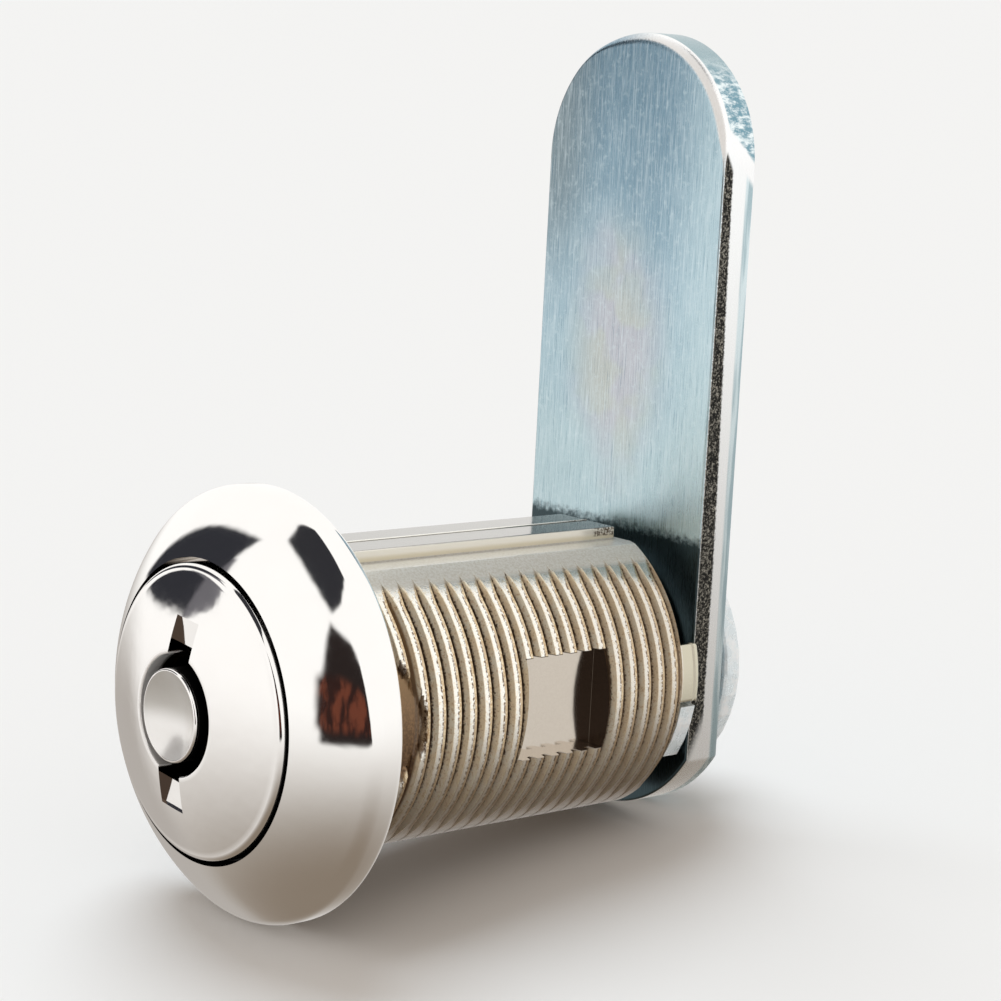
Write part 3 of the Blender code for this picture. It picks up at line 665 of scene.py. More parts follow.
def housing_material():
    """Chrome on the bezel, thin tarnished plating on the barrel, with painted highlights and painted
    shade on its thread, lower flat and pocket, and dark brown painted shade in its thread's grooves.
    """
    material, mix, inputs = metal("housing_chrome_finish")
    flat = FLAT_HEIGHT / MM
    rib = flat + RIB_HEIGHT / MM
    rear = BARREL_LENGTH / MM
    root = ROOT_RADIUS / MM
    behind = mix.ramp(mix.y, -0.25, -0.15)
    fine = mix.noise(7.0, 3.0, 0.7)
    thread, on_flank, groove, runout = thread_colour(mix)
    on_land = land_share(mix, groove, runout)
    on_flat = mix.ramp(mix.z, flat - 0.04, flat - 0.01)
    rib_top = mix.where((mix.z, rib - 0.05, rib - 0.01), (mix.z, rib + 0.035, rib + 0.015))
    floor_and_lit_wall, dark = pocket_masks(mix)
    barrel = mix.layers(
        thread, neck_layer(mix, fine),
        (on_land, mix.blend(mix.ramp(fine, 0.42, 0.60), (0.70, 0.69, 0.64), (0.60, 0.57, 0.50))),
        # Painted shade on the lower flat, which faces down
        (mix.ramp(mix.z, 0.7 - flat, 0.4 - flat), (0.22, 0.17, 0.125)),
        *flat_layers(mix, fine, on_flat), (rib_top, (0.39, 0.38, 0.36)),
        # Pocket floor colour, and painted light on the lower wall
        (floor_and_lit_wall, mix.blend(fine, (0.69, 0.63, 0.555), (0.61, 0.55, 0.48))),
        # Dark painted shade on the pocket's upper and rear walls
        (dark, (0.045, 0.030, 0.022)),
        (mix.ramp(mix.y, rear + 0.03, rear + 0.06), (0.63, 0.59, 0.47)))
    mix.set(inputs["Base Color"], mix.blend(behind, bezel_colour(mix), barrel))
    on_flank = mix.product(on_flank, mix.ramp(mix.radius, root - 0.08, root - 0.01),
                           mix.inverse(on_land),
                           mix.ramp(mix.math("ABSOLUTE", mix.z), flat - 0.04, flat - 0.10))
    satin = mix.most(mix.product(on_land, 0.8), mix.product(on_flank, 0.85))
    satin = mix.product(satin, mix.inverse(rib_top), behind)
    mix.set(inputs["Metallic"], mix.inverse(satin))
    housing_surface(mix, inputs, fine, behind, on_flank, mix.most(floor_and_lit_wall, on_flat))
    return material


def housing_surface(mix, inputs, fine, behind, on_flank, plain):
    """Roughness and bumps: smooth waves on the bezel and plain areas, fine pits elsewhere."""
    smooth = mix.blend_value(mix.noise(POLISH_SCALE, 4.0), 0.03, 0.09)
    rough = mix.blend_value(on_flank, mix.blend_value(fine, 0.14, 0.28), 0.35)
    rough = mix.blend_value(plain, rough, 0.12)
    mix.set(inputs["Roughness"], mix.blend_value(behind, smooth, rough))
    waves = mix.product(mix.noise(0.8, 1.0), 0.25)
    pits = mix.product(mix.noise(5.0, 3.0, 0.7), 0.4)
    pits = mix.blend_value(plain, pits, waves)
    mix.set(inputs["Normal"], mix.bump(mix.blend_value(behind, waves, pits), 0.022 * MM))


def cloud_layer(mix, up):
    """A pink and yellowish cloud in the passivation of the cam's middle."""
    across = mix.math("DIVIDE", mix.plus(mix.x, 0.5), 5.2)
    along = mix.math("DIVIDE", mix.minus(up, 20.5), 9.5)
    cloud = mix.ramp(mix.length(across, along), 1.15, 0.25)
    tint = mix.ramp(mix.noise(WAVE_SCALE, 2.0), 0.42, 0.58)
    return mix.product(cloud, 0.75), mix.blend(tint, (0.58, 0.555, 0.60), (0.58, 0.575, 0.52))


def cam_face(mix, grain):
    """The cam's faces: blue zinc that is darker towards the tip, with a cloud in its middle, and
    near-black painted shade by the foot.
    """
    flake = mix.noise(2.6, 4.0, 0.7)
    warp = mix.product(mix.minus(mix.noise(0.25, 2.0), 0.5), 9.0)
    up = mix.plus(mix.z, warp)
    left = mix.product(mix.ramp(mix.x, -2.0, -8.0), mix.ramp(mix.z, 20.0, 33.0), 0.8)
    # Near-black painted shade on the face towards the barrel, by the foot
    foot = mix.where((mix.plus(mix.z, mix.product(flake, 1.4)), 10.1, 9.2),
                     (mix.y, CAM_BACK / MM - 0.3, CAM_BACK / MM - 0.6))
    return mix.layers(
        (0.50, 0.65, 0.70),
        (mix.ramp(up, 11.0, 26.0), (0.38, 0.53, 0.62)),
        (mix.ramp(up, 23.0, 37.0), (0.21, 0.33, 0.42)),
        cloud_layer(mix, up),
        (mix.product(mix.ramp(mix.x, 2.5, 8.0), 0.6), (0.60, 0.76, 0.81)),
        (left, (0.22, 0.27, 0.29)),
        (mix.product(mix.ramp(grain, 0.48, 0.66), 0.42), (0.80, 0.92, 0.98)),
        (mix.product(mix.ramp(grain, 0.46, 0.30), 0.55), (0.14, 0.24, 0.32)),
        (mix.product(mix.ramp(flake, 0.52, 0.70), 0.30), (0.72, 0.84, 0.88)),
        (foot, (0.05, 0.075, 0.085)))


def torn_strip(mix, share, grit, bend):
    """Share of the torn strip by the front of the punched side, between the tip and the foot."""
    ragged = mix.plus(share, mix.product(mix.minus(grit, 0.5), 0.12))
    slant = mix.product(share, 6.0)
    torn_end = mix.blend_value(mix.ramp(mix.z, 34.0, 6.0), 0.30, 0.47)
    return mix.where((ragged, 0.03, 0.06), (mix.minus(ragged, torn_end), 0.03, -0.03),
                     (mix.plus(mix.z, slant), bend + 1.9, bend + 1.3),
                     (mix.minus(mix.z, slant), -6.5, -4.5))


def cam_side(mix, bend):
    """The punched side: a torn dark strip by the front, then a burnished white and a blue one."""
    top = CAM_TIP_HEIGHT / MM
    share = mix.math("DIVIDE", mix.minus(mix.y, CAM_FRONT / MM), (CAM_BACK - CAM_FRONT) / MM)
    grit = mix.noise(6.5, 3.0, 0.8)
    streak = mix.noise(1.0, 3.0, 0.5, mix.stretched(mix.place, (3.0, 3.0, 0.15)))
    blue = mix.blend(mix.ramp(streak, 0.40, 0.62), (0.42, 0.55, 0.60), (0.72, 0.84, 0.88))
    torn = mix.blend(mix.ramp(grit, 0.48, 0.66), (0.025, 0.025, 0.024), (0.50, 0.48, 0.42))
    strip = torn_strip(mix, share, grit, bend)
    mottle = mix.noise(1.0, 5.0, 0.75, mix.stretched(mix.place, (2.0, 1.2, 2.6)))
    tip = mix.layers((0.20, 0.36, 0.44), (mix.ramp(mottle, 0.40, 0.62), (0.90, 0.98, 1.0)),
                     (mix.ramp(mix.z, top - 3.4, top - 0.9), (0.34, 0.46, 0.50)))
    line = mix.plus(mix.z, mix.product(share, 2.8))
    band = mix.where((line, bend + 1.3, bend + 1.9), (line, bend + 3.3, bend + 2.9))
    side = mix.layers((0.97, 0.99, 1.0), (mix.ramp(share, 0.70, 0.78), blue), (strip, torn),
                      (band, (0.98, 0.99, 1.0)), (mix.ramp(line, bend + 2.9, bend + 3.3), tip))
    return side, strip


def cam_material():
    """Blue-passivated zinc on a punched steel plate, brushed along the cam, with a painted white
    highlight on its rolled-over front edge.
    """
    material, mix, inputs = metal("cam_zinc_finish")
    bend = (CAM_TIP_HEIGHT - CAM_HALF_WIDTH) / MM
    front = CAM_FRONT / MM
    grain = mix.noise(1.0, 5.0, 0.7, mix.stretched(mix.place, (11.0, 11.0, 0.40)))
    side, strip = cam_side(mix, bend)
    normal_y = mix.normal()[1]
    on_side = mix.ramp(mix.math("ABSOLUTE", normal_y), 0.50, 0.35)
    colour = mix.blend(on_side, cam_face(mix, grain), side)
    # Painted white highlight on the rolled-over front edge
    rolled = mix.where((normal_y, -0.97, -0.88), (normal_y, -0.08, -0.20),
                       (mix.y, front + 1.0, front + 0.6), (mix.x, -3.0, 2.0),
                       (mix.z, bend - 0.8, bend + 1.2))
    mix.set(inputs["Base Color"], mix.blend(rolled, colour, (1.0, 1.0, 1.0)))
    satin = mix.product(rolled, mix.ramp(normal_y, -0.40, -0.60))
    mix.set(inputs["Metallic"], mix.inverse(satin))
    rough = mix.blend_value(grain, 0.20, 0.36)
    mix.set(inputs["Roughness"], mix.blend_value(strip, rough, 0.6))
    mix.set(inputs["Normal"], mix.bump(grain, 0.012 * MM))
    return material


def plated_material(name, colour, worn, roughness, metallic):
    """A plain plated or bare metal with fine wear."""
    material, mix, inputs = metal(name)
    inputs["Metallic"].default_value = metallic
    wear = mix.noise(1.3, 5.0, 0.6)
    mix.set(inputs["Base Color"], mix.blend(mix.ramp(wear, 0.4, 0.65), colour, worn))
    mix.set(inputs["Roughness"], mix.blend_value(wear, *roughness))
    mix.set(inputs["Normal"], mix.bump(mix.noise(5.0, 3.0), 0.01 * MM))
    return material


# Fine housing

def flat_angle(degrees):
    """Angle of a place round the barrel from the X axis, the same on all four sides."""
    return abs((degrees + 90.0) % 180.0 - 90.0)


def runout_share(angle):
    """0 on the full thread and 1 on the plain land beside a flat."""
    return smoothstep((angle - RUNOUT_START) / (RUNOUT_END - RUNOUT_START))


def neck_end(angle):
    """Where the thread starts behind the neck: nearer to the bezel beside a flat."""
    reach = NECK_TURN_END - NECK_TURN_START
    share = smoothstep((angle - NECK_TURN_START) / reach)
    return NECK_END + (NECK_CORNER_END - NECK_END) * share


def thread_point(degrees, start, offset, level):
    """A point of the threaded surface, offset along the axis from its ridge's front foot.

    Towards a flat the groove gets narrower and shallower, and ends in a point.
    """
    angle = flat_angle(degrees)
    share = runout_share(angle)
    width = 1.0 - share * (1.0 - RUNOUT_LEAST_WIDTH)
    if offset < RIDGE_MIDDLE:
        offset *= width
    elif offset > RIDGE_MIDDLE:
        offset = THREAD_PITCH - (THREAD_PITCH - offset) * width
    base = ROOT_RADIUS + (THREAD_RADIUS - ROOT_RADIUS) * share
    grown = smoothstep((start + offset - neck_end(angle)) / NECK_FADE)
    radius = base + (THREAD_RADIUS - base) * level * grown
    x, z = polar(radius, degrees)
    return (x, start + offset, z)


def threaded_rod():
    """A solid rod with a right-handed thread, longer than the barrel at both ends."""
    turns = math.ceil((BARREL_LENGTH + 2 * OVERSHOOT) / THREAD_PITCH) + 2
    first = -2.0 * THREAD_PITCH + THREAD_PHASE
    rows = turns * THREAD_STEPS + 1
    per_row = len(RIDGE)
    points = []
    for row in range(rows):
        degrees = -360.0 * row / THREAD_STEPS
        start = first + THREAD_PITCH * row / THREAD_STEPS
        for offset, level in RIDGE:
            points.append(thread_point(degrees, start, offset, level))
    faces = []
    for row in range(rows - 1):
        for column in range(per_row):
            near = row * per_row + column
            far = near + per_row
            if column < per_row - 1:
                faces.append((near, near + 1, far + 1, far))
            elif row + 1 + THREAD_STEPS < rows:
                near_next = (row + THREAD_STEPS) * per_row
                faces.append((near, near_next, near_next + per_row, far))
    mesh = bpy.data.meshes.new("thread")
    mesh.from_pydata(points, [], faces)
    rod = add_object("thread", mesh)
    close_ends(rod)
    return rod


def close_ends(obj):
    """Fill each open edge loop with a fan to a point on the lock's axis."""
    mesh = bmesh.new()
    mesh.from_mesh(obj.data)
    loose = [edge for edge in mesh.edges if len(edge.link_faces) == 1]
    middle = sum((edge.verts[0].co.y for edge in loose), 0.0) / len(loose)
    for side in (-1, 1):
        ring = [edge for edge in loose if (edge.verts[0].co.y - middle) * side > 0]
        tip_place = sum(edge.verts[0].co.y for edge in ring) / len(ring)
        tip = mesh.verts.new((0.0, tip_place, 0.0))
        for edge in ring:
            mesh.faces.new((edge.verts[0], edge.verts[1], tip))
    bmesh.ops.recalc_face_normals(mesh, faces=mesh.faces)
    mesh.to_mesh(obj.data)
    mesh.free()


def dome_tangent(edge_centre, rim):
    """Centre of the dome's arc through the rim, tangent inside to the edge's arc."""
    reach = BEZEL_DOME_RADIUS - BEZEL_EDGE_RADIUS
    dx = rim[0] - edge_centre[0]
    dy = rim[1] - edge_centre[1]
    span = math.hypot(dx, dy)
    along = (reach ** 2 - BEZEL_DOME_RADIUS ** 2 + span ** 2) / (2 * span)
    across = math.sqrt(reach ** 2 - along ** 2)
    unit = (dx / span, dy / span)
    centre = (edge_centre[0] + unit[0] * along + unit[1] * across,
              edge_centre[1] + unit[1] * along - unit[0] * across)
    angle = math.degrees(math.atan2(edge_centre[1] - centre[1], edge_centre[0] - centre[0]))
    return angle, centre


def bezel_profile():
    """From the back face, round the edge, over the dome and into the rim's seat."""
    edge_centre = (BEZEL_RADIUS - BEZEL_EDGE_RADIUS, -BEZEL_EDGE_CENTRE_DEPTH)
    back_centre = (BEZEL_RADIUS - BEZEL_BACK_FILLET, -BEZEL_BACK_FILLET)
    back = arc(back_centre, BEZEL_BACK_FILLET, 90, 0, FILLET_STEPS)
    rim = (RIM_RADIUS, -BEZEL_HEIGHT)
    tangent_angle, dome_centre = dome_tangent(edge_centre, rim)
    edge = arc(edge_centre, BEZEL_EDGE_RADIUS, 0, tangent_angle, EDGE_STEPS)
    rim_angle = math.degrees(math.atan2(rim[1] - dome_centre[1], rim[0] - dome_centre[0]))
    dome = arc(dome_centre, BEZEL_DOME_RADIUS, tangent_angle, rim_angle, DOME_STEPS)
    lip = [(RIM_RADIUS, -BEZEL_HEIGHT + RIM_EDGE)]
    return back + edge + dome[1:] + lip


def bezel_solid():
    inside = [(RIM_RADIUS, -SEAT_DEPTH), (BORE_RADIUS, -SEAT_DEPTH), (BORE_RADIUS, 0.0)]
    return turned("bezel", bezel_profile() + inside)


def envelope():
    """The barrel's outer limits: its ends and its chamfer, just clear of the thread's crests."""
    outer = THREAD_RADIUS + RIM_EDGE
    profile = [(0.0, BARREL_LENGTH),
               (outer - BARREL_CHAMFER - RIM_EDGE, BARREL_LENGTH),
               (outer, BARREL_LENGTH - BARREL_CHAMFER - RIM_EDGE),
               (outer, -BEZEL_BACK_FILLET),
               (0.0, -BEZEL_BACK_FILLET)]
    return turned("envelope", profile, closed=False)


def bore():
    front = -BEZEL_BACK_FILLET - OVERSHOOT
    shoulder = BARREL_LENGTH - REAR_WALL
    shaft_hole = SHAFT_RADIUS + TAIL_HOLE_GAP
    back = BARREL_LENGTH + OVERSHOOT
    profile = [(0.0, back), (shaft_hole, back), (shaft_hole, shoulder), (BORE_RADIUS, shoulder),
               (BORE_RADIUS, front), (0.0, front)]
    return turned("bore", profile, closed=False)


def flat_block(name, side):
    ends = sorted((side * FLAT_HEIGHT, side * (THREAD_RADIUS + 2 * OVERSHOOT)))
    low = (-THREAD_RADIUS, -2 * OVERSHOOT, ends[0])
    high = (THREAD_RADIUS, BARREL_LENGTH + OVERSHOOT, ends[1])
    return block(name, low, high)


def rib_block():
    low = (-RIB_WIDTH / 2, -BEZEL_BACK_FILLET, FLAT_HEIGHT - RIB_HEIGHT / 2)
    high = (RIB_WIDTH / 2, BARREL_LENGTH - RIB_END_GAP, FLAT_HEIGHT + RIB_HEIGHT)
    rib = block("rib", low, high)
    bevel(rib, RIB_EDGE, segments=3)
    return bake(rib)


def seam_block():
    """The fine raised line that the mould's joint leaves along the rib."""
    top = FLAT_HEIGHT + RIB_HEIGHT
    low = (-SEAM_WIDTH / 2, 0.0, top - RIB_EDGE)
    high = (SEAM_WIDTH / 2, BARREL_LENGTH - RIB_END_GAP - RIB_EDGE, top + SEAM_HEIGHT)
    seam = block("seam", low, high)
    bevel(seam, SEAM_HEIGHT * 0.8)
    return bake(seam)


def lug_plate():
    start = LUG_CENTRE_ANGLE - LUG_WIDTH_ANGLE / 2
    end = LUG_CENTRE_ANGLE + LUG_WIDTH_ANGLE / 2
    outline = arc((0, 0), LUG_OUTER_RADIUS, start, end, EDGE_STEPS)
    outline += arc((0, 0), LUG_INNER_RADIUS, end, start, EDGE_STEPS)
    lug = plate("lug", [outline], BARREL_LENGTH - 2 * BARREL_CHAMFER, BARREL_LENGTH + LUG_LENGTH)
    bevel(lug, LUG_EDGE, segments=6)
    return bake(lug)


def pocket_block():
    low = (POCKET_FLOOR, POCKET_START, -POCKET_HEIGHT / 2)
    high = (THREAD_RADIUS + OVERSHOOT, POCKET_START + POCKET_LENGTH, POCKET_HEIGHT / 2)
    return block("pocket", low, high)


def sleeve_pin_hole():
    centre = (0, SLEEVE_PIN_PLACE, -SLEEVE_PIN_DEPTH - THREAD_RADIUS / 2)
    return cylinder("sleeve_pin_hole", SLEEVE_PIN_HOLE_RADIUS, THREAD_RADIUS,
                    Matrix.Translation(centre))


def make_housing(material):
    housing = cut(threaded_rod(), [
        (envelope(), "INTERSECT"),
        (flat_block("upper_flat", 1), "DIFFERENCE"),
        (flat_block("lower_flat", -1), "DIFFERENCE"),
        (pocket_block(), "DIFFERENCE"),
        (rib_block(), "UNION"),
        (seam_block(), "UNION"),
        (lug_plate(), "UNION"),
        (bore(), "DIFFERENCE"),
        (bezel_solid(), "UNION"),
        (sleeve_pin_hole(), "DIFFERENCE"),
    ])
    housing.name = "threaded_housing"
    housing.modifiers.new("flat_normals", "WEIGHTED_NORMAL").keep_sharp = True
    return finish_piece(housing, material, "housing_body", "housing", smooth_angle=28.0)


# Fine plug

def dome_place(radius):
    """Where the plug's domed face is along the axis, at a radius."""
    edge_radius = FACE_RADIUS - FACE_EDGE_RADIUS
    fall = math.sqrt(FACE_DOME_RADIUS ** 2 - radius ** 2)
    edge_fall = math.sqrt(FACE_DOME_RADIUS ** 2 - edge_radius ** 2)
    return -FACE_EDGE_HEIGHT - (fall - edge_fall)


def face_profile():
    """Round the face's edge, over its dome and round the keyway's rim."""
    edge_centre = (FACE_RADIUS - FACE_EDGE_RADIUS, -FACE_EDGE_HEIGHT + FACE_EDGE_RADIUS)
    edge = arc(edge_centre, FACE_EDGE_RADIUS, 0, -90, RIM_STEPS)
    outer = FACE_RADIUS - FACE_EDGE_RADIUS
    inner = KEYWAY_RADIUS + KEYWAY_EDGE
    dome = []
    for step in range(1, DOME_STEPS + 1):
        radius = outer + (inner - outer) * step / DOME_STEPS
        dome.append((radius, dome_place(radius)))
    rim_centre = (inner, dome_place(inner) + KEYWAY_EDGE)
    return edge + dome + arc(rim_centre, KEYWAY_EDGE, -90, -180, KEYWAY_STEPS)[1:]


def post_profile():
    """Up the centre post's side, round its rim and down into its dished end."""
    rim_centre = (POST_RADIUS - POST_EDGE_RADIUS, -POST_HEIGHT + POST_EDGE_RADIUS)
    rim = arc(rim_centre, POST_EDGE_RADIUS, 0, -90, RIM_STEPS)
    dish_radius = POST_RADIUS - POST_EDGE_RADIUS
    dish = []
    for step in range(1, DISH_STEPS):
        share = 1 - step / DISH_STEPS
        dish.append((dish_radius * share, -POST_HEIGHT + POST_DISH_DEPTH * (1 - share ** 2)))
    return rim + dish + [(0.0, -POST_HEIGHT + POST_DISH_DEPTH)]


def tail_profile():
    """The tail's end and its threaded length, in fine round ridges."""
    profile = [(0.0, TAIL_END), (SHAFT_RADIUS - TAIL_CHAMFER, TAIL_END),
               (SHAFT_RADIUS, TAIL_END - TAIL_CHAMFER)]
    place = TAIL_END - TAIL_CHAMFER
    while place - TAIL_THREAD_PITCH > CAM_BACK:
        middle = place - TAIL_THREAD_PITCH / 2
        profile.append((SHAFT_RADIUS - TAIL_THREAD_DEPTH, middle))
        place -= TAIL_THREAD_PITCH
        profile.append((SHAFT_RADIUS, place))
    return profile


def plug_profile():
    drum = [(SHAFT_RADIUS, DRUM_BACK), (DRUM_RADIUS, DRUM_BACK), (DRUM_RADIUS, DRUM_FRONT),
            (FACE_RADIUS, DRUM_FRONT)]
    keyway = [(KEYWAY_RADIUS, KEYWAY_FLOOR), (POST_RADIUS, KEYWAY_FLOOR)]
    return tail_profile() + drum + face_profile() + keyway + post_profile()


def notch_block(name, side, inner, outer, floor):
    ends = sorted((side * inner, side * outer))
    low = (-NOTCH_WIDTH / 2, -POST_HEIGHT - OVERSHOOT, ends[0])
    high = (NOTCH_WIDTH / 2, floor, ends[1])
    cutter = block(name, low, high)
    cutter.rotation_euler = (0, math.radians(NOTCH_TILT), 0)
    return bake(cutter)


def chamber(index):
    angle = 90.0 - 360.0 / PIN_COUNT * index
    x, z = polar(PIN_CIRCLE_RADIUS, angle)
    length = DRUM_BACK + OVERSHOOT - CHAMBER_FRONT
    turn = Matrix.Rotation(math.radians(90), 4, "X")
    place = Matrix.Translation((x, CHAMBER_FRONT + length / 2, z))
    return cylinder("chamber", CHAMBER_RADIUS, length, place @ turn)


def tail_flat(name, side):
    ends = sorted((side * TAIL_HALF_WIDTH, side * (SHAFT_RADIUS + OVERSHOOT)))
    low = (ends[0], BARREL_LENGTH, -SHAFT_RADIUS - OVERSHOOT)
    high = (ends[1], TAIL_END + OVERSHOOT, SHAFT_RADIUS + OVERSHOOT)
    return block(name, low, high)


def make_plug(material):
    inside_keyway = (KEYWAY_RADIUS + POST_RADIUS) / 2
    steps = []
    for name, side in (("upper", 1), ("lower", -1)):
        shelf = notch_block(name + "_shelf", side, inside_keyway, NOTCH_REACH, -NOTCH_DEPTH)
        slot = notch_block(name + "_slot", side, inside_keyway, NOTCH_SHELF_START, KEYWAY_FLOOR)
        steps += [(shelf, "DIFFERENCE"), (slot, "DIFFERENCE")]
    steps += [(chamber(index), "DIFFERENCE") for index in range(PIN_COUNT)]
    steps += [(tail_flat("right_flat", 1), "DIFFERENCE"), (tail_flat("left_flat", -1), "DIFFERENCE")]
    plug = cut(turned("plug_piece", plug_profile(), closed=False), steps)
    plug.name = "domed_plug"
    return finish_piece(plug, material, "plug_body", "plug")


# Fine cam

def tail_hole():
    """Outline of the double-D hole that the plug's tail fits."""
    radius = SHAFT_RADIUS + TAIL_HOLE_GAP
    corner = math.degrees(math.acos((TAIL_HALF_WIDTH + TAIL_HOLE_GAP) / radius))
    upper = arc((0, 0), radius, corner, 180 - corner, HOLE_STEPS)
    return upper + arc((0, 0), radius, 180 + corner, 360 - corner, HOLE_STEPS)


def cam_outline(inset=0.0):
    """A straight bar with a round tip, and a foot that is an arc about the pivot."""
    half_width = CAM_HALF_WIDTH - inset
    tip_centre = (0, CAM_TIP_HEIGHT - CAM_HALF_WIDTH)
    foot_radius = CAM_FOOT_RADIUS - inset
    tip = arc(tip_centre, half_width, 0, 180, ARC_STEPS)
    foot_angle = math.degrees(math.acos(half_width / foot_radius))
    foot = arc((0, 0), foot_radius, 180 + foot_angle, 360 - foot_angle, ARC_STEPS // 2)
    return tip + foot


def cam_rings():
    """Insets and places of the cam's outline: sheared back edge, side, rolled-over front edge."""
    rings = [(CAM_BACK_EDGE, CAM_BACK), (0.0, CAM_BACK - CAM_BACK_EDGE)]
    for step in range(FILLET_STEPS + 1):
        angle = math.radians(90.0 * step / FILLET_STEPS)
        inset = CAM_FRONT_ROLL * (1 - math.cos(angle))
        place = CAM_FRONT + CAM_FRONT_ROLL * (1 - math.sin(angle))
        rings.append((inset, place))
    return rings


def roll_share(x, z):
    """Share of the full roll-over, which the punch left at the tip's right side only."""
    tip = smoothstep((z - (CAM_TIP_HEIGHT - CAM_HALF_WIDTH)) / CAM_ROLL_TIP_FADE)
    right = smoothstep((x - CAM_ROLL_START) / CAM_ROLL_FADE)
    return CAM_PLAIN_ROLL_SHARE + (1.0 - CAM_PLAIN_ROLL_SHARE) * tip * right


def cam_loop(mesh, inset, place):
    """One ring of the cam's outline, with less inset and roll where the edge is sharper."""
    loop = []
    for (x, z), (inner_x, inner_z) in zip(cam_outline(), cam_outline(inset)):
        share = roll_share(x, z) if place <= CAM_FRONT + CAM_FRONT_ROLL else 1.0
        depth = CAM_FRONT + (place - CAM_FRONT) * share
        loop.append(mesh.verts.new((x + (inner_x - x) * share, depth, z + (inner_z - z) * share)))
    return loop


def make_cam(material):
    mesh = bmesh.new()
    loops = [cam_loop(mesh, inset, place) for inset, place in cam_rings()]
    count = len(loops[0])
    for near, far in zip(loops, loops[1:]):
        for index in range(count):
            following = (index + 1) % count
            mesh.faces.new((near[index], near[following], far[following], far[index]))
    mesh.faces.new(loops[0])
    mesh.faces.new(reversed(loops[-1]))
    bmesh.ops.recalc_face_normals(mesh, faces=mesh.faces)
    cam = object_from("cam_plate", mesh)
    hole = plate("cam_hole", [tail_hole()], CAM_FRONT - OVERSHOOT, CAM_BACK + OVERSHOOT)
    cam = cut(cam, [(hole, "DIFFERENCE")])
    return finish_piece(cam, material, "plug_body", "cam", smooth_angle=35.0)


# Stage

def make_floor():
    """A plain pale floor that the bezel and the cam's foot rest on."""
    material = bpy.data.materials.new("floor_finish")
    material.use_nodes = True
    inputs = material.node_tree.nodes["Principled BSDF"].inputs
    inputs["Base Color"].default_value = FLOOR_COLOUR
    inputs["Roughness"].default_value = 0.9
    inputs["Specular IOR Level"].default_value = 0.0
    mesh = bpy.data.meshes.new("floor")
    half = FLOOR_SIZE / 2
    mesh.from_pydata([(-half, -half, 0), (half, -half, 0), (half, half, 0), (-half, half, 0)], [],
                     [(0, 1, 2, 3)])
    floor = add_object("floor", mesh)
    floor.data.materials.append(material)
    slope = math.radians(FLOOR_SLOPE)
    floor.rotation_euler = (slope, 0, 0)
    floor.location = bezel_contact(slope)
    floor.visible_glossy = False


def bezel_contact(slope):
    """The bezel's lowest point over a floor that rises towards +Y by the slope."""
    centre = Vector((0, -BEZEL_EDGE_CENTRE_DEPTH, -BEZEL_RADIUS + BEZEL_EDGE_RADIUS))
    down = Vector((0, math.sin(slope), -math.cos(slope)))
    return centre + down * BEZEL_EDGE_RADIUS


def direction(azimuth, elevation):
    """Unit vector: azimuth 0 is towards -Y and 90 towards +X."""
    a = math.radians(azimuth)
    e = math.radians(elevation)
    return Vector((math.sin(a) * math.cos(e), -math.cos(a) * math.cos(e), math.sin(e)))


# Dark things of the room that the chrome mirrors, as corners of (azimuth, elevation)
LEFT_CARD = ((-99, 0), (-91, 10), (-77, 23), (-63, 35), (-42, 47), (-47, 28), (-55, 6), (-76, 1))
LEFT_CARD_SIDE = ((-53, 27), (-45, 31), (-42, 12), (-56, 4))
TOP_CARD = ((-32, 50), (-140, 72), (100, 70), (54, 62), (17, 36))
FRONT_CARD = ((17, 37), (30, 27), (53, 13), (76, -8), (18, -12))
BROWN_PART = ((15, 12), (28, 13), (48, 3), (56, -6), (16, -7))
GREY_SIDE = ((-125, -4), (-80, -7), (-70, -38), (-125, -45))

# Corners, colour and softness of each card, from behind to front
CARDS = ((GREY_SIDE, (0.46, 0.43, 0.40), 0.15),
         (LEFT_CARD_SIDE, (0.15, 0.145, 0.16), 0.015),
         (LEFT_CARD, (0.030, 0.031, 0.038), 0.02),
         (TOP_CARD, (0.03, 0.03, 0.035), 0.02),
         (FRONT_CARD, (0.022, 0.016, 0.015), 0.025))
BROWN_SOFTNESS = 0.04
ROOM_ABOVE = (1.06, 1.05, 1.03)
ROOM_BELOW = (0.25, 0.205, 0.16)


def card_mask(mix, look, corners, softness):
    """1 inside a polygon on the sphere round the object, 0 outside, soft at its edges."""
    points = [direction(*corner) for corner in corners]
    centre = sum(points, Vector()).normalized()
    mask = 1.0
    for first, second in zip(points, points[1:] + points[:1]):
        inward = first.cross(second).normalized()
        if inward.dot(centre) < 0:
            inward.negate()
        dot = mix.add("ShaderNodeVectorMath", operation="DOT_PRODUCT")
        mix.set(dot.inputs[0], look)
        dot.inputs[1].default_value = inward
        side = mix.ramp(dot.outputs["Value"], -softness, softness)
        mask = mix.product(side, mask)
    return mask


def make_world():
    """Soft pale surroundings. Metal also mirrors a few plain dark cards."""
    world = bpy.data.worlds.new("studio")
    world.use_nodes = True
    bpy.context.scene.world = world
    mix = Shader(world.node_tree)
    background = world.node_tree.nodes["Background"]
    look = mix.add("ShaderNodeTexCoord").outputs["Generated"]
    room = mix.blend(mix.ramp(mix.split(look)[2], 0.04, -0.95), ROOM_ABOVE, ROOM_BELOW)
    streaks = mix.noise(1.0, 3.0, 0.6, mix.stretched(look, (16.0, 16.0, 5.0)))
    brown = mix.blend(mix.ramp(streaks, 0.44, 0.58), (0.030, 0.014, 0.012), (0.15, 0.045, 0.026))
    for corners, colour, softness in (*CARDS, (BROWN_PART, brown, BROWN_SOFTNESS)):
        room = mix.blend(card_mask(mix, look, corners, softness), room, colour)
    path = mix.add("ShaderNodeLightPath")
    plain = mix.blend(path.outputs["Is Camera Ray"], DIFFUSE_LIGHT, PALE)
    mix.set(background.inputs["Color"], mix.blend(path.outputs["Is Glossy Ray"], plain, room))
    background.inputs["Strength"].default_value = 1.0


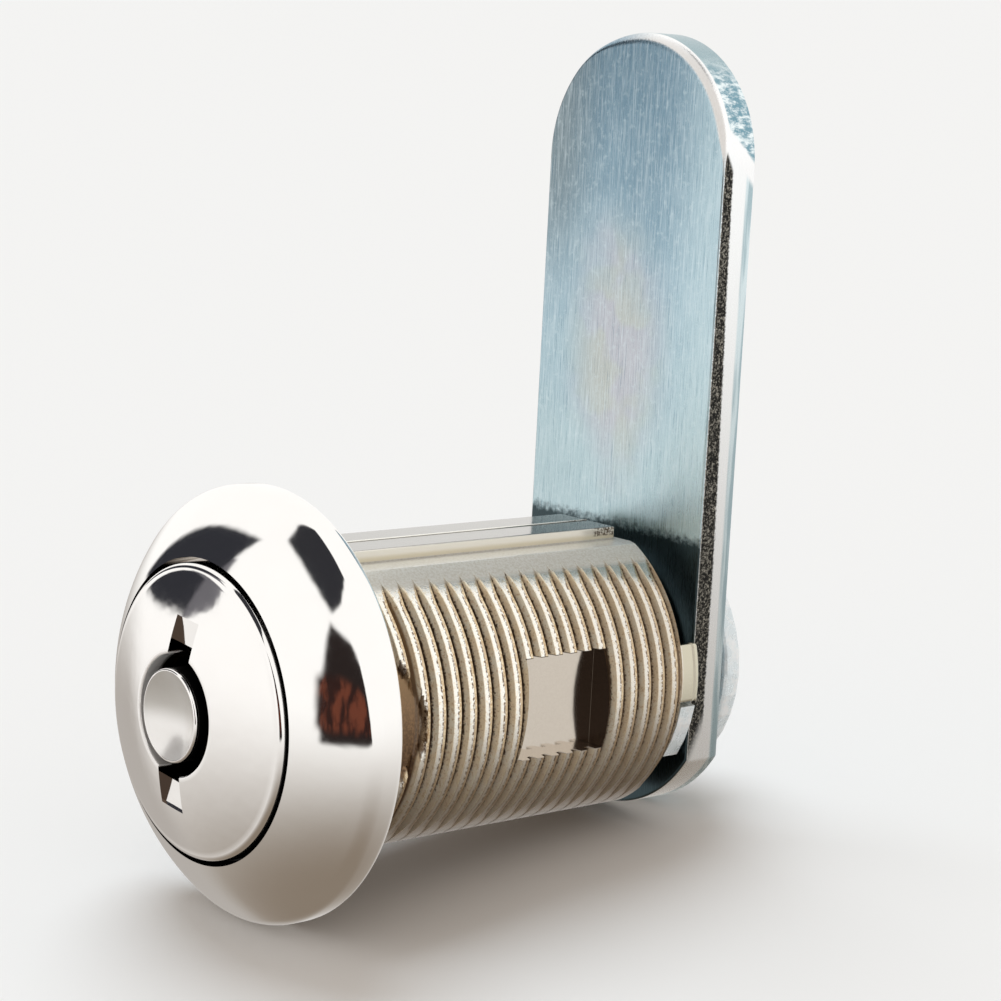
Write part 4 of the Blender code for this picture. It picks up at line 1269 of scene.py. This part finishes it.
def make_lamp():
    """One very broad soft lamp, above and to the left, for the floor's soft shadow."""
    light = bpy.data.lights.new("key", "SUN")
    light.angle = math.radians(LAMP_ANGLE)
    light.energy = LAMP_STRENGTH
    light.color = LAMP_COLOUR
    lamp = add_object("key", light)
    place = direction(*LAMP_SIDE)
    lamp.rotation_mode = "QUATERNION"
    lamp.rotation_quaternion = (-place).to_track_quat("-Z", "Y")
    lamp.visible_glossy = False


def make_camera():
    camera = add_object("camera", bpy.data.cameras.new("camera"))
    camera.data.lens = CAMERA_LENS
    camera.data.sensor_width = SENSOR_WIDTH
    camera.data.clip_start = CLIP_START
    camera.data.clip_end = CLIP_END
    a = math.radians(CAMERA_AZIMUTH)
    back = direction(CAMERA_AZIMUTH, CAMERA_ELEVATION)
    right = Vector((math.cos(a), math.sin(a), 0))
    up = back.cross(right)
    roll = Matrix.Rotation(math.radians(CAMERA_ROLL), 3, "Z")
    turn = Matrix((right, up, back)).transposed() @ roll
    camera.matrix_world = Matrix.Translation(CAMERA_PLACE) @ turn.to_4x4()
    bpy.context.scene.camera = camera


# Colour, worn colour, range of roughness and share of metal of each plain finish
FINISHES = {
    "zinc_plate": ((0.80, 0.88, 0.92), (0.95, 0.97, 0.98), (0.20, 0.36), 0.30),
    "brass": ((0.58, 0.40, 0.17), (0.40, 0.27, 0.11), (0.24, 0.42), 1.0),
    "nickel_steel": ((0.66, 0.64, 0.60), (0.52, 0.50, 0.47), (0.18, 0.35), 1.0),
    "spring_steel": ((0.45, 0.45, 0.46), (0.33, 0.33, 0.34), (0.25, 0.42), 1.0),
}
# Finishes by how a node's name begins; the first match counts
NODE_FINISHES = (("key_pin", "brass"), ("driver_pin", "nickel_steel"),
                 ("pin_spring", "spring_steel"), ("stop_washer", "zinc_plate"),
                 ("cam_washer", "zinc_plate"), ("cam_nut", "nickel_steel"),
                 ("sleeve_pin", "nickel_steel"), ("sleeve", "brass"))


def dress_frame():
    """Give each CAD node that stays its own finish."""
    materials = {name: plated_material(name + "_finish", *values) for name, values in FINISHES.items()}
    for name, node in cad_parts.items():
        for beginning, finish in NODE_FINISHES:
            if name.startswith(beginning):
                node.data.materials.clear()
                node.data.materials.append(materials[finish])
                break


make_camera()
make_floor()
make_world()
make_lamp()
dress_frame()
housing = make_housing(housing_material())
plug = make_plug(chrome_material())
cam = make_cam(cam_material())
bpy.context.scene.view_settings.view_transform = "Standard"
